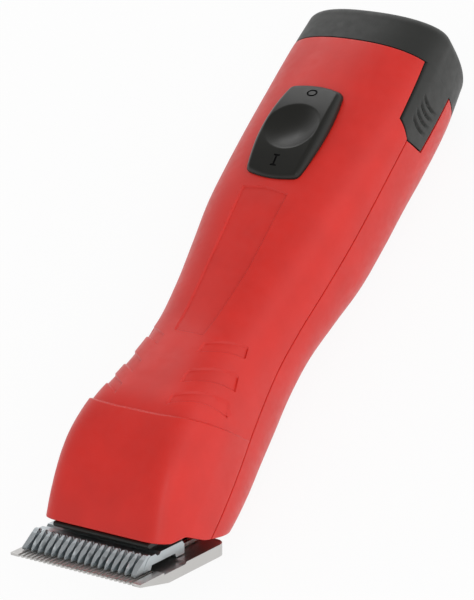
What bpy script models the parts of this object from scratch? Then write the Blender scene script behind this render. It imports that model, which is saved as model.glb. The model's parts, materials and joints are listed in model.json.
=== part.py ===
"""Cordless animal clipper with a fold-open blade set, a thumb slider and a slide-out battery.

All sizes in this file are millimetres; add_part() turns them into metres.  The clipper lies on
its flat belly: +X is its right side, -Y its blade end, +Z up, and the origin is on the surface
it lies on, below the middle of its box.
"""
import math

import bmesh
import bpy
import numpy as np
from mathutils import Matrix, Vector

MM = 0.001
GAP = 0.3                     # clearance between neighbouring pieces
WALL = 2.0                    # moulded wall of both housing halves

# Handle form.  Each station: y, half width at the parting line, top, belly,
# squareness of the upper and of the lower half, and how far the sides lean in towards the top.
STATIONS = (
    (-96.0, 24.2, 31.5, 12.0, 11.0, 2.8, 0.163),
    (-80.0, 24.2, 42.5, 7.5, 10.0, 2.8, 0.16),
    (-68.0, 24.0, 48.0, 2.6, 8.0, 2.7, 0.144),
    (-53.0, 22.9, 50.0, -0.1, 5.3, 2.6, 0.105),
    (-42.0, 21.6, 48.6, -0.4, 3.8, 2.6, 0.05),
    (-30.0, 20.5, 46.6, -0.4, 3.2, 2.6, 0.02),
    (-20.0, 20.0, 45.2, 0.6, 2.9, 2.6, 0.0),
    (-5.0, 20.9, 44.8, 2.0, 2.9, 2.6, 0.0),
    (10.0, 22.8, 45.4, 1.0, 2.9, 2.7, 0.0),
    (25.0, 24.4, 46.4, -0.4, 3.0, 2.9, 0.0),
    (39.0, 25.3, 46.8, -0.5, 2.8, 2.9, 0.0),
    (55.0, 26.0, 46.6, -0.5, 2.6, 2.8, 0.0),
    (68.0, 26.5, 46.0, -0.4, 2.4, 2.85, 0.0),
    (86.0, 26.5, 44.8, 0.2, 2.3, 2.9, 0.0),
    (102.0, 25.7, 42.9, 1.6, 2.35, 2.7, 0.0),
)
PARTING_Z, PARTING_SLOPE = 25.05, 0.0734   # parting line height at y = 0, and its rise per mm
ARC_STEPS = 24                             # facets over each half of the handle's section

# The head stands proud of the grip.  Its edge crosses the top at HEAD_STEP_Y and sweeps back down
# the sides, where it fades out; rings within STEP_REACH of it bend the same way.
HEAD_STEP_Y, HEAD_STEP = -55.4, 0.9
STEP_SWEEP, STEP_REACH = 12.3, 32.0

# Shallow recesses in the upper half, as (x, y) corners seen from above; the grips are mirrored.
RECESS_DEPTH, RECESS_CORNER = 0.35, 0.8
GRIP_RECESSES = (
    ((7.1, -31.2), (17.5, -25.1), (16.9, -20.4), (6.4, -25.3)),
    ((8.1, -42.0), (18.9, -36.1), (18.2, -29.9), (7.5, -36.5)),
    ((8.3, -51.6), (20.1, -44.1), (19.4, -39.6), (8.7, -47.1)),
)
TOP_PANEL = ((-5.2, -24.2), (5.2, -24.2), (8.2, 29.5), (0.0, 30.4), (-8.2, 29.5))

# Front of the head: one slanted plane, and a shallow notch in each side.
HEAD_EDGE_Y, HEAD_EDGE_Z = -89.5, 36.8
HEAD_SLANT = math.radians(51.2)
NOTCH_START, NOTCH_END, NOTCH_DEPTH = 5.3, 19.4, 1.7

# Blade set, given across (x), back from the comb's tips (u) and up off the comb's top (n).
TIP_Y, TIP_Z = -103.5, 38.5
BLADE_TILT = math.radians(40.0)
COMB_HALF, COMB_LENGTH, COMB_THICK = 23.5, 42.4, 3.7
COMB_TEETH, COMB_TOOTH_DEPTH, COMB_CORNER = 29, 10.5, 3.5
COMB_TIP_THICK, COMB_BEVEL_LENGTH = 0.7, 13.7
COMB_NOTCH_HALF, COMB_NOTCH_U = 9.0, 39.6  # relief for the hinge in the comb's rear edge
COMB_HOLLOW_U, COMB_HOLLOW = (11.4, 22.8), 0.6   # ground hollow between the two bearing bands
CUTTER_HALF, CUTTER_TEETH = 20.6, 17
CUTTER_BACK_U, CUTTER_TOP_N = 27.0, 4.4
STROKE = 1.25                 # the cutter rests at the -X end of its stroke, this far off centre
DRIVE_SLOT_HALF, DRIVE_SLOT_U, DRIVE_SLOT_FLOOR = 2.6, (16.9, 21.1), 2.7
# Cutter tooth rings: u, then the foot's and crest's half widths in pitches, then foot and crest n.
CUTTER_TOOTH = (
    (3.3, 0.12, 0.08, 0.3, 1.0), (4.6, 0.30, 0.26, 0.3, 1.9), (6.2, 0.44, 0.36, 0.3, 3.0),
    (7.8, 0.46, 0.27, 0.9, 4.1), (9.3, 0.46, 0.16, 3.0, 5.0), (10.2, 0.46, 0.10, 3.7, 5.0),
    (11.6, 0.46, 0.05, 3.6, 4.0),
)
END_FOOT = 0.46                # the outermost teeth are upright on their outer side, this far out
FINGER_HALF = 2.1
SOCKET_U = (28.0, 38.8)
SOCKET_HALF, SOCKET_TOP, FLANGE_HALF, FLANGE_TOP = 9.0, 3.4, 16.5, 1.5
CHANNEL_HALF, CHANNEL_LOW, CHANNEL_HIGH, CHANNEL_MOUTH = 6.6, 1.1, 2.7, 4.5
BLADE_SCREW_X, BLADE_SCREW_U = 13.5, 33.5
SPRING_X, SPRING_THICK = (10.0, 14.5), 0.7
SPRING_LINE = ((18.0, 4.7), (26.5, 4.7), (30.0, 1.9), (31.4, 1.8))    # its lower face, (u, n)

# Fold-open hinge behind the comb.
HINGE_U, HINGE_N = 43.0, 1.9
HINGE_PIN_R, KNUCKLE_R, KNUCKLE_HALF = 1.2, 2.4, 5.4

# Drive: motor pinion, crank gear with an eccentric pin, swing lever.
MOTOR_Z, MOTOR_R, MOTOR_FRONT, MOTOR_BACK = 19.5, 13.5, -27.5, 14.0
SHAFT_R = 1.15
GEAR_MODULE, PINION_TEETH, GEAR_TEETH = 0.6, 12, 30
GEAR_Z = MOTOR_Z + GEAR_MODULE * (PINION_TEETH + GEAR_TEETH) / 2 + 0.1
GEAR_Y = (-37.5, -33.5)
AXLE_R, CRANK_PIN_R, CRANK_OFFSET = 1.5, 1.2, 1.0
LEVER_Y, LEVER_Z = -60.0, (31.5, 34.5)
LEVER_PIN_R = 1.5

# Thumb slider.  Seen from above its sides and ends are bowed; its flanks lean in as they rise.
SLIDER_Y, SLIDER_END_BOW = (34.2, 67.2), 1.5     # the corners' y, and how far the ends bow past it
SLIDER_END_HALF, SLIDER_MID_HALF, SLIDER_CORNER = 9.5, 11.5, 1.6
SLIDER_BASE_Z, SLIDER_CREST_Z, SLIDER_CREST_Y = 45.2, 49.9, 51.0
SLIDER_BOW = 145.0            # the top falls from its crest by (distance ** 2) / this
SLIDER_LIFT = 0.5             # clearance of its underside over the housing's curved top
# Rings of its flank: share of the height, share of the lean, and rounding of the upper edge.
SLIDER_LEAN = 0.38
SLIDER_LEVELS = ((0.0, 0.0), (0.85, 0.0), (0.95, 0.12), (1.0, 0.45))
DISH_R, DISH_DEPTH, DISH_Y = 9.3, 2.4, 51.0

# Battery pack.
SPLIT_Y, BATTERY_END_Y, END_RADIUS = 89.6, 104.03, 4.0
INSERT_HALF, INSERT_Z, INSERT_FRONT = 17.0, (6.0, 32.5), 52.0
ARM_TIP, ARM_ROOT_Y = 65.7, 89.3
ARM_OUTLINE = ((ARM_ROOT_Y, 20.0), (68.2, 20.5), (ARM_TIP, 29.7), (68.7, 36.1), (ARM_ROOT_Y, 37.3))
ARM_PIVOT_X, ARM_PIVOT_Y = 25.4, 89.4

GRIP_GROOVES, GROOVE_WIDTH, GROOVE_DEPTH = (72.6, 75.6, 78.6, 81.6), 1.2, 0.5
GROOVE_Z, GROOVE_BOW = (23.0, 33.4), 1.1  # the finger grooves' ends, and how far they bow rearward

# What holds the pieces inside the housing: screws through posts, ribs and standoffs.
POST_SPLIT_Z = 14.0           # the housing screws' posts meet here
HOUSING_SCREWS = ((13.0, -44.0), (-13.0, -44.0), (15.5, 33.0), (-15.5, 33.0))
FRAME_SCREWS = ((6.5, -49.4), (-6.5, -49.4))
BRACKET_SCREWS = ((4.0, -55.5), (-4.0, -55.5))
BOARD_SCREWS = ((0.0, 26.0), (0.0, 80.0))
BOARD_Z = (34.2, 35.8)
CRADLE_Y = (-22.0, 8.0)       # ribs under and over the motor
FRONT_WALL_SET, FRONT_WALL = 3.2, 2.0     # the lower half's front wall, behind the slanted edge
HINGE_OPENING_HALF = 8.4


# ---------------------------------------------------------------- scene and materials

def clear_scene():
    for item in list(bpy.data.objects):
        bpy.data.objects.remove(item, do_unlink=True)


def material(name, colour, roughness, metallic=0.0):
    mat = bpy.data.materials.new(name)
    mat.use_nodes = True
    shader = mat.node_tree.nodes["Principled BSDF"]
    shader.inputs["Base Color"].default_value = (*colour, 1.0)
    shader.inputs["Roughness"].default_value = roughness
    shader.inputs["Metallic"].default_value = metallic
    mat.diffuse_color = (*colour, 1.0)
    return mat


def make_materials():
    return {
        "shell": material("red_moulded_plastic", (0.65, 0.055, 0.04), 0.42),
        "battery": material("charcoal_plastic", (0.065, 0.067, 0.063), 0.55),
        "black": material("black_plastic", (0.025, 0.026, 0.024), 0.4),
        "steel": material("ground_steel", (0.62, 0.64, 0.66), 0.28, 1.0),
        "bright": material("bright_steel", (0.75, 0.75, 0.74), 0.18, 1.0),
        "brass": material("brass", (0.7, 0.5, 0.2), 0.3, 1.0),
        "board": material("green_board", (0.02, 0.16, 0.07), 0.5),
        "nylon": material("white_nylon", (0.8, 0.79, 0.74), 0.5),
    }


def add_part(name, bm, mat, origin=(0.0, 0.0, 0.0), parent=None, smooth=True):
    """Turn a bmesh in millimetres into a named object whose own origin is `origin`."""
    bmesh.ops.recalc_face_normals(bm, faces=bm.faces)
    place = Vector(origin)
    bmesh.ops.transform(bm, matrix=Matrix.Scale(MM, 4) @ Matrix.Translation(-place), verts=bm.verts)
    mesh = bpy.data.meshes.new(name)
    bm.to_mesh(mesh)
    bm.free()
    if smooth:
        mesh.shade_smooth()
        mesh.set_sharp_from_angle(angle=math.radians(35))
    obj = bpy.data.objects.new(name, mesh)
    bpy.context.scene.collection.objects.link(obj)
    if mat is not None:
        mesh.materials.append(mat)
    obj.location = place * MM
    if parent is not None:
        obj.parent = parent
        obj.location = (place * MM) - parent.location
    return obj


def tool(name, bm):
    """A solid that only shapes others: it stays in the scene as a wire and is not a piece."""
    obj = add_part(name, bm, None, smooth=False)
    obj.hide_render = True
    obj.display_type = "WIRE"
    return obj


def boolean(target, operation, cutter):
    step = target.modifiers.new(operation.lower() + "_" + cutter.name, "BOOLEAN")
    step.operation = operation
    step.solver = "EXACT"
    step.object = cutter


def axis_empty(name, place):
    empty = bpy.data.objects.new(name, None)
    bpy.context.scene.collection.objects.link(empty)
    empty.location = Vector(place) * MM
    empty.empty_display_size = 0.01
    return empty


# ---------------------------------------------------------------- form helpers

def loft(rings, closed=True):
    """Skin a list of equal closed loops and cap both ends."""
    bm = bmesh.new()
    rows = [[bm.verts.new(point) for point in ring] for ring in rings]
    count = len(rows[0])
    for near, far in zip(rows, rows[1:]):
        for i in range(count):
            j = (i + 1) % count
            bm.faces.new((near[i], near[j], far[j], far[i]))
    if closed:
        bm.faces.new(rows[0])
        bm.faces.new(list(reversed(rows[-1])))
    return bm


def prism(outline, shift):
    """Extrude a flat outline of 3-D points along a vector."""
    far = [tuple(Vector(point) + Vector(shift)) for point in outline]
    return loft([outline, far])


def across(outline, x_low, x_high, place=lambda x, a, b: (x, a, b)):
    """Extrude an outline of (y, z) or, with place=blade_point, (u, n) pairs along X."""
    low = [place(x_low, a, b) for a, b in outline]
    high = [place(x_high, a, b) for a, b in outline]
    return loft([low, high])


def box(x, y, z):
    (x0, x1), (y0, y1), (z0, z1) = x, y, z
    return across(((y0, z0), (y1, z0), (y1, z1), (y0, z1)), x0, x1)


def rod(start, end, radius, steps=24):
    """A round bar between two points."""
    start, end = Vector(start), Vector(end)
    way = (end - start).normalized()
    side = way.orthogonal().normalized()
    up = way.cross(side)
    turns = [2 * math.pi * i / steps for i in range(steps)]
    circle = [radius * (math.cos(t) * side + math.sin(t) * up) for t in turns]
    return loft([[tuple(centre + offset) for offset in circle] for centre in (start, end)])


def turned(x, y, levels, steps=16):
    """A turned shape on a vertical axis, from (radius, z) levels, such as a screw."""
    turns = np.linspace(0, 2 * math.pi, steps, endpoint=False)
    return loft([[(x + r * math.cos(t), y + r * math.sin(t), z) for t in turns] for r, z in levels])


def rounded(corners, radius, steps=3):
    """A plan outline of (x, y) corners with every corner turned into a short arc."""
    outline = []
    count = len(corners)
    for i in range(count):
        before, corner, after = (Vector(corners[(i + k) % count]) for k in (-1, 0, 1))
        near = corner + (before - corner).normalized() * radius
        far = corner + (after - corner).normalized() * radius
        for k in range(steps + 1):
            t = k / steps
            outline.append(tuple((1 - t) ** 2 * near + 2 * t * (1 - t) * corner + t * t * far))
    return outline


def merge(*solids):
    """Put several bmeshes in one, for a tool made of separate solids."""
    whole = bmesh.new()
    for solid in solids:
        piece = bpy.data.meshes.new("piece")
        solid.to_mesh(piece)
        solid.free()
        whole.from_mesh(piece)
        bpy.data.meshes.remove(piece)
    return whole


def blade_point(x, u, n):
    """A point of the blade set in the clipper's own axes."""
    back, drop = math.cos(BLADE_TILT), math.sin(BLADE_TILT)
    return (x, TIP_Y + u * back + n * drop, TIP_Z - u * drop + n * back)


def blade_direction(x, u, n):
    return Vector(blade_point(x, u, n)) - Vector(blade_point(0, 0, 0))


def plan_prism(outline, n_low, n_high):
    """Extrude an outline of (x, u) pairs square to the blade."""
    return prism([blade_point(x, u, n_low) for x, u in outline], blade_direction(0, 0, n_high - n_low))


# ---------------------------------------------------------------- handle sections

def form(y):
    """The station values at y, joined by a smooth cubic through the stations."""
    table = np.array(STATIONS)
    ys = table[:, 0]
    slopes = np.gradient(table[:, 1:], ys, axis=0)
    k = int(np.clip(np.searchsorted(ys, y) - 1, 0, len(ys) - 2))
    span = ys[k + 1] - ys[k]
    t = (y - ys[k]) / span
    near, far = table[k, 1:], table[k + 1, 1:]
    value = ((1 + 2 * t) * (1 - t) ** 2 * near + t * (1 - t) ** 2 * span * slopes[k]
             + t * t * (3 - 2 * t) * far + t * t * (t - 1) * span * slopes[k + 1])
    return value


def parting(y):
    return PARTING_Z + PARTING_SLOPE * y


def swept(y, level):
    """Where a ring that crosses the top (level 1) at y stands at a lower level of the side."""
    near = max(0.0, 1 - abs(y - HEAD_STEP_Y) / STEP_REACH)
    return y + STEP_SWEEP * (1 - level) ** 0.75 * near * near * (3 - 2 * near)


def half_section(y, upper, inset=0.0):
    """Half of the handle's outline at y, from its +X parting edge round to the -X one."""
    points = []
    for i in range(ARC_STEPS + 1):
        turn = math.pi * i / ARC_STEPS
        side = 0 if 0 < i < ARC_STEPS else 1
        rise_share = 0.0 if side else math.sin(turn)
        place = swept(y, rise_share ** (2 / form(y)[3 if upper else 4]))
        half, top, belly, square_top, square_low, lean = form(place)
        power = 2 / (square_top if upper else square_low)
        level = rise_share ** power
        proud = HEAD_STEP * min(1.0, level / 0.4) ** 0.7 if upper and y < HEAD_STEP_Y else 0.0
        edge = parting(place) + (GAP / 2 if upper else -GAP / 2)
        rise = (top if upper else belly) - edge
        rise -= (inset - proud) * math.copysign(1.0, rise)
        reach = abs(math.cos(turn)) ** power if 2 * i != ARC_STEPS else 0.0
        narrow = 1 - lean * level if upper else 1.0
        x = math.copysign((half - inset + proud) * reach * narrow, math.cos(turn))
        points.append((x, place, max(edge + rise * level, inset)))
    return points


def whole_section(y, inset=0.0, y_place=None):
    """The full outline at y, as one closed loop, moved to y_place when that is given."""
    loop = half_section(y, True, inset) + list(reversed(half_section(y, False, inset)))
    shift = 0.0 if y_place is None else y_place - y
    return [(x, place + shift, z) for x, place, z in loop]


def shell_rings():
    head = np.linspace(-95.5, HEAD_STEP_Y - 0.3, 9)
    grip = np.linspace(HEAD_STEP_Y + 0.3, SPLIT_Y, 25)
    return [float(y) for y in np.concatenate((head, grip))]


def half_shell(upper):
    return loft([half_section(y, upper) + list(reversed(half_section(y, upper, WALL)))
                 for y in shell_rings()])


def recesses():
    """The upper half's skin, down to the recesses' floor, wherever a recess is seen from above."""
    skin = tool("recess_skin", loft([half_section(y, True, -1.0)
                                     + list(reversed(half_section(y, True, RECESS_DEPTH)))
                                     for y in shell_rings()]))
    plans = [TOP_PANEL]
    for corners in GRIP_RECESSES:
        plans += [corners, [(-x, y) for x, y in reversed(corners)]]
    prisms = [prism([(x, y, 30.0) for x, y in rounded(plan, RECESS_CORNER)], (0, 0, 30)) for plan in plans]
    boolean(skin, "INTERSECT", tool("recess_plans", merge(*prisms)))
    return skin


def head_front():
    """Everything in front of the head's slanted edge, with the notch in each side."""
    down = Vector((0, math.cos(HEAD_SLANT), -math.sin(HEAD_SLANT)))
    into = Vector((0, math.sin(HEAD_SLANT), math.cos(HEAD_SLANT)))
    edge = Vector((0, HEAD_EDGE_Y, HEAD_EDGE_Z))
    middle = (NOTCH_START + NOTCH_END) / 2 - 1.5
    line = [edge - 30 * down, edge + NOTCH_START * down, edge + middle * down + NOTCH_DEPTH * into,
            edge + NOTCH_END * down, edge + 60 * down]
    outline = [(p.y, p.z) for p in line] + [(-140.0, -20.0), (-140.0, 70.0)]
    return across(outline, -40, 40)


def arm_prism(outline, clearance, x_low=-40.0, x_high=40.0):
    """The latch arm's outline, grown by a clearance and open to the rear."""
    low_root, low_tip, tip, top_tip, top_root = outline
    grown = ((low_root[0] + 8 * clearance, low_root[1] - clearance),
             (low_tip[0] - clearance, low_tip[1] - clearance),
             (tip[0] - clearance, tip[1]),
             (top_tip[0] - clearance, top_tip[1] + clearance),
             (top_root[0] + 8 * clearance, top_root[1] + clearance))
    return across(grown, x_low, x_high)


# ---------------------------------------------------------------- housing

def upright(places, low, high, radius, steps=24):
    """Equal upright rods at several (x, y) places."""
    return merge(*(rod((x, y, low), (x, y, high), radius, steps) for x, y in places))


def inside(name, bm, core):
    """A rib, post or wall, trimmed to the housing's inside so that it roots in the moulded wall."""
    obj = tool(name, bm)
    boolean(obj, "INTERSECT", core)
    return obj


def front_wall():
    """A slab behind the lower half's slanted front edge, open in the middle for the hinge."""
    down = Vector((0, math.cos(HEAD_SLANT), -math.sin(HEAD_SLANT)))
    into = Vector((0, math.sin(HEAD_SLANT), math.cos(HEAD_SLANT)))
    near = Vector((0, HEAD_EDGE_Y, HEAD_EDGE_Z)) + FRONT_WALL_SET * into
    high = (HEAD_EDGE_Z + FRONT_WALL_SET * into.z - parting(-75.0) + 1.0) / -down.z
    corners = (near + high * down, near + 60 * down, near + 60 * down + FRONT_WALL * into,
               near + high * down + FRONT_WALL * into)
    outline = [(point.y, point.z) for point in corners]
    return merge(across(outline, -30, -HINGE_OPENING_HALF), across(outline, HINGE_OPENING_HALF, 30))


def make_housing(mats):
    front = tool("front_cut", head_front())
    pockets = tool("arm_pockets", arm_prism(ARM_OUTLINE, 0.4))
    core_rings = [whole_section(y, WALL / 2) for y in shell_rings()]
    core = tool("core", loft(core_rings))
    upper = add_part("upper_housing", half_shell(True), mats["shell"])
    lower = add_part("lower_housing", half_shell(False), mats["shell"])

    cradle = tool("motor_room", rod((0, -60, MOTOR_Z), (0, 40, MOTOR_Z), MOTOR_R + GAP, 32))
    ribs = {"upper": [], "lower": []}
    for y in CRADLE_Y:
        edge = parting(y)
        ribs["upper"].append(box((-30, 30), (y - 1, y + 1), (edge + GAP / 2, 60)))
        ribs["lower"].append(box((-30, 30), (y - 1, y + 1), (-5, edge - GAP / 2)))
    for half in ribs:
        ribs[half] = inside(half + "_ribs", merge(*ribs[half]), core)
        boolean(ribs[half], "DIFFERENCE", cradle)
    stands = inside("board_stands", upright(BOARD_SCREWS, BOARD_Z[1] + GAP, 60, 2.6), core)
    pedestals = merge(*(box((x - 1.5, x + 1.5), (43.0, 46.5), (-5, 9.0 - GAP)) for x in (-10, 10)))
    grown = (
        (upper, ribs["upper"]), (upper, stands),
        (upper, inside("upper_posts", upright(HOUSING_SCREWS, POST_SPLIT_Z + GAP, 60, 3.4), core)),
        (lower, ribs["lower"]), (lower, inside("block_pedestals", pedestals, core)),
        (lower, inside("front_wall", front_wall(), core)),
        (lower, inside("lower_posts", upright(HOUSING_SCREWS, -5, POST_SPLIT_Z, 4.6), core)),
        (lower, inside("frame_posts", upright(FRAME_SCREWS, -5, 21.4, 2.4), core)),
        (lower, inside("bracket_posts", upright(BRACKET_SCREWS, -5, 7.4, 2.2), core)),
    )
    for target, growth in grown:
        boolean(target, "UNION", growth)

    shanks = tool("shank_holes", upright(HOUSING_SCREWS, 3, 26, 1.7))
    heads = tool("head_holes", upright(HOUSING_SCREWS, -5, 9, 3.3))
    small = tool("small_holes", merge(upright(FRAME_SCREWS, 12, 23, 1.2, 16),
                                      upright(BRACKET_SCREWS, 4.4, 9, 1.2, 16)))
    board_holes = tool("board_holes", upright(BOARD_SCREWS, 30, 42.5, 1.2, 16))
    slot = tool("slider_slot", box((-3.2, 3.2), (43.4, 55.6), (40, 52)))
    for obj in (upper, lower):
        for cutter in (front, pockets, shanks):
            boolean(obj, "DIFFERENCE", cutter)
    for cutter in (heads, small):
        boolean(lower, "DIFFERENCE", cutter)
    for cutter in (board_holes, slot, recesses()):
        boolean(upper, "DIFFERENCE", cutter)
    for number, (x, y) in enumerate(HOUSING_SCREWS, 1):
        screw = turned(x, y, ((2.9, 6.2), (2.9, 8.6), (1.35, 8.7), (1.35, 24.5)), 20)
        add_part("housing_screw_%d" % number, screw, mats["bright"], (x, y, 6.2))


def make_head_insert(mats):
    nose = ((12.3, 6.1), (12.7, 5.5), (30.0, 5.5), (30.0, 7.0), (12.7, 7.0), (12.3, 6.6))
    plate = add_part("head_insert", across(nose, -17.3, 17.3, blade_point), mats["black"])
    window = tool("insert_window", plan_prism(((-5.5, 15), (5.5, 15), (5.5, 25), (-5.5, 25)), 2, 12))
    boolean(plate, "DIFFERENCE", window)


# ---------------------------------------------------------------- battery

def make_battery(mats):
    body = axis_empty("battery_slide", (0, SPLIT_Y, 20))
    rings = [whole_section(y) for y in (SPLIT_Y + GAP, 95.0, BATTERY_END_Y - END_RADIUS)]
    for degrees in (30, 60, 90):
        turn = math.radians(degrees)
        inset = END_RADIUS * (1 - math.cos(turn))
        place = BATTERY_END_Y - END_RADIUS * (1 - math.sin(turn))
        rings.append(whole_section(BATTERY_END_Y - END_RADIUS, inset, place))
    case = add_part("battery_case", loft(rings), mats["battery"], (0, SPLIT_Y, 20), body)
    z_low, z_high = INSERT_Z
    edge = 3.0
    outline = ((-INSERT_HALF, z_low + edge), (-INSERT_HALF + edge, z_low), (INSERT_HALF - edge, z_low),
               (INSERT_HALF, z_low + edge), (INSERT_HALF, z_high - edge), (INSERT_HALF - edge, z_high),
               (-INSERT_HALF + edge, z_high), (-INSERT_HALF, z_high - edge))
    insert = tool("battery_insert", prism([(x, INSERT_FRONT, z) for x, z in outline], (0, 42, 0)))
    boolean(case, "UNION", insert)
    for number, x in enumerate((-8.0, 0.0, 8.0), 1):
        pad = box((x - 1.6, x + 1.6), (INSERT_FRONT - 1.0, INSERT_FRONT - GAP), (15.0, 26.0))
        add_part("battery_terminal_%d" % number, pad, mats["brass"], (x, INSERT_FRONT, 20), body)
    grooves = tool("grip_grooves", merge(*(groove(side, y) for side in (1, -1) for y in GRIP_GROOVES)))
    for side, name in ((1, "latch_arm_right"), (-1, "latch_arm_left")):
        place = (side * ARM_PIVOT_X, ARM_PIVOT_Y, 28)
        arm = add_part(name, latch_arm(side), mats["battery"], place, body)
        boolean(arm, "DIFFERENCE", grooves)


def latch_arm(side):
    """A side strip of the handle's own wall, trimmed to the arm's outline."""
    rings = []
    for y in (ARM_TIP, 68.45, 74.0, 80.0, ARM_ROOT_Y):
        low, high = arm_limits(y)
        rings.append(side_strip(y, side, low, high))
    return loft(rings)


def groove(side, y):
    """One bowed finger groove across a latch arm, open to the outside."""
    rings = []
    for z in np.linspace(*GROOVE_Z, 9):
        away = (2 * z - sum(GROOVE_Z)) / (GROOVE_Z[1] - GROOVE_Z[0])
        centre = y + GROOVE_BOW * (1 - away * away)
        depth = GROOVE_DEPTH * min(1.0, 3 * (1 - abs(away)))
        floor = side * (side_x(centre, z) - depth)
        rings.append([(floor, centre - 0.3 * GROOVE_WIDTH, z), (floor, centre + 0.3 * GROOVE_WIDTH, z),
                      (floor + side * 2, centre + 1.6 * GROOVE_WIDTH, z),
                      (floor + side * 2, centre - 1.6 * GROOVE_WIDTH, z)])
    return loft(rings)


def arm_limits(y):
    """Lowest and highest z of the arm's outline at y."""
    low_root, low_tip, tip, top_tip, top_root = ARM_OUTLINE
    low = np.interp(y, (tip[0], low_tip[0], low_root[0]), (tip[1] - 0.8, low_tip[1], low_root[1]))
    high = np.interp(y, (tip[0], top_tip[0], top_root[0]), (tip[1] + 0.8, top_tip[1], top_root[1]))
    return float(low), float(high)


def side_strip(y, side, low, high, wall=WALL):
    """Wall section between two heights on one side of the handle."""
    outer, inner = [], []
    for z in np.linspace(low, high, 7):
        outer.append((side * side_x(y, z), y, float(z)))
        inner.append((side * (side_x(y, z) - wall), y, float(z)))
    return outer + list(reversed(inner))


def side_x(y, z):
    """Half width of the handle at height z."""
    half, top, belly, square_top, square_low, lean = form(y)
    edge = parting(y)
    if z >= edge:
        level = (z - edge) / (top - edge)
        return half * (1 - lean * level) * (1 - level ** square_top) ** (1 / square_top)
    level = (edge - z) / (edge - belly)
    return half * (1 - level ** square_low) ** (1 / square_low)


# ---------------------------------------------------------------- thumb slider and electrics

def slider_half_outline():
    """The +X half of the slider's base seen from above, from its front end to its rear end."""
    y_low, y_high = SLIDER_Y
    middle, reach = (y_low + y_high) / 2, (y_high - y_low) / 2
    side_end, end_side = 1 - SLIDER_CORNER / reach, 1 - SLIDER_CORNER / SLIDER_END_HALF

    def side(t):
        return Vector((SLIDER_MID_HALF - (SLIDER_MID_HALF - SLIDER_END_HALF) * t * t, reach * t))

    def end(s):
        return Vector((SLIDER_END_HALF * s, reach + SLIDER_END_BOW * (1 - s * s)))

    quarter = [side(t) for t in np.linspace(0.0, side_end, 7)]
    for t in (0.25, 0.5, 0.75):
        quarter.append((1 - t) ** 2 * side(side_end) + 2 * t * (1 - t) * side(1.0) + t * t * end(end_side))
    quarter += [end(s) for s in np.linspace(end_side, 0.0, 7)]
    front = [Vector((x, -y)) for x, y in reversed(quarter[1:])]
    return [(x, middle + y) for x, y in front + quarter]


def slider_ring(level, rounding):
    """The loop at one level of the slider's flank, up its +X side and back down the other."""
    outline = slider_half_outline()
    points = []
    for i, (x, y) in enumerate(outline):
        before, after = outline[max(i - 1, 0)], outline[min(i + 1, len(outline) - 1)]
        way = (Vector(after) - Vector(before)).normalized()
        height = SLIDER_CREST_Z - (y - SLIDER_CREST_Y) ** 2 / SLIDER_BOW - SLIDER_BASE_Z
        inset = SLIDER_LEAN * level * height + rounding
        at_end = i in (0, len(outline) - 1)
        x = 0.0 if at_end else x - inset * way.y
        place = y + inset * (way.x if not at_end else math.copysign(1.0, SLIDER_CREST_Y - y))
        top = SLIDER_CREST_Z - (place - SLIDER_CREST_Y) ** 2 / SLIDER_BOW
        points.append((x, place, SLIDER_BASE_Z + level * (top - SLIDER_BASE_Z)))
    return points + [(-x, y, z) for x, y, z in reversed(points[1:-1])]


def make_slider(mats):
    body = axis_empty("switch_slide", (0, SLIDER_CREST_Y, SLIDER_BASE_Z))
    bm = loft([slider_ring(*level) for level in SLIDER_LEVELS], closed=False)
    bm.verts.ensure_lookup_table()
    count = len(bm.verts) // len(SLIDER_LEVELS)
    top = bm.verts[-count:]
    bm.faces.new(list(reversed(bm.verts[:count])))
    for i in range(count // 2):
        facet = (top[i], top[i + 1], top[-i - 1], top[-i] if i else None)
        bm.faces.new([vert for vert in dict.fromkeys(facet) if vert is not None])
    slider = add_part("switch_slider", bm, mats["black"], (0, SLIDER_CREST_Y, SLIDER_BASE_Z), body)
    y_low, y_high = SLIDER_Y
    saddle = loft([whole_section(float(y), -SLIDER_LIFT) for y in np.linspace(y_low - 8, y_high + 8, 14)])
    boolean(slider, "DIFFERENCE", tool("slider_saddle", saddle))
    ball_r = (DISH_R ** 2 + DISH_DEPTH ** 2) / (2 * DISH_DEPTH)
    ball = bmesh.new()
    bmesh.ops.create_uvsphere(ball, u_segments=48, v_segments=44, radius=ball_r)
    bmesh.ops.translate(ball, verts=ball.verts, vec=(0, DISH_Y, SLIDER_CREST_Z + ball_r - DISH_DEPTH))
    boolean(slider, "DIFFERENCE", tool("thumb_dish", ball))
    boolean(slider, "UNION", tool("slider_stem", box((-2.6, 2.6), (49.0, 55.0), (42.8, 47.3))))
    add_part("switch_carrier", box((-7, 7), (46.0, 58.0), (40.9, 42.5)), mats["nylon"], (0, 52, 41), body)


def make_electrics(mats):
    board = add_part("circuit_board", box((-11, 11), (22.0, 84.0), BOARD_Z), mats["board"], (0, 52, 35))
    boolean(board, "DIFFERENCE", tool("board_bores", upright(BOARD_SCREWS, 30, 40, 1.3, 16)))
    for number, (x, y) in enumerate(BOARD_SCREWS, 1):
        screw = cap_screw(x, y, BOARD_Z[0] - GAP, 42.0)
        add_part("board_screw_%d" % number, screw, mats["bright"], (x, y, 34))
    add_part("micro_switch", box((-4, 4), (38.0, 50.0), (36.1, 40.3)), mats["black"], (0, 44, 36))
    add_part("contact_block", box((-13, 13), (42.5, 47.0), (9.0, 30.0)), mats["black"], (0, 45, 20))
    for number, x in enumerate((-8.0, 0.0, 8.0), 1):
        leaf = ((47.3, 14.0), (49.6, 18.0), (50.6, 20.5), (49.6, 23.0), (47.3, 27.0),
                (47.3, 26.3), (49.1, 22.7), (49.9, 20.5), (49.1, 18.3), (47.3, 14.7))
        add_part("contact_spring_%d" % number, across(leaf, x - 1.2, x + 1.2), mats["brass"], (x, 47, 20))


# ---------------------------------------------------------------- drive

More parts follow.
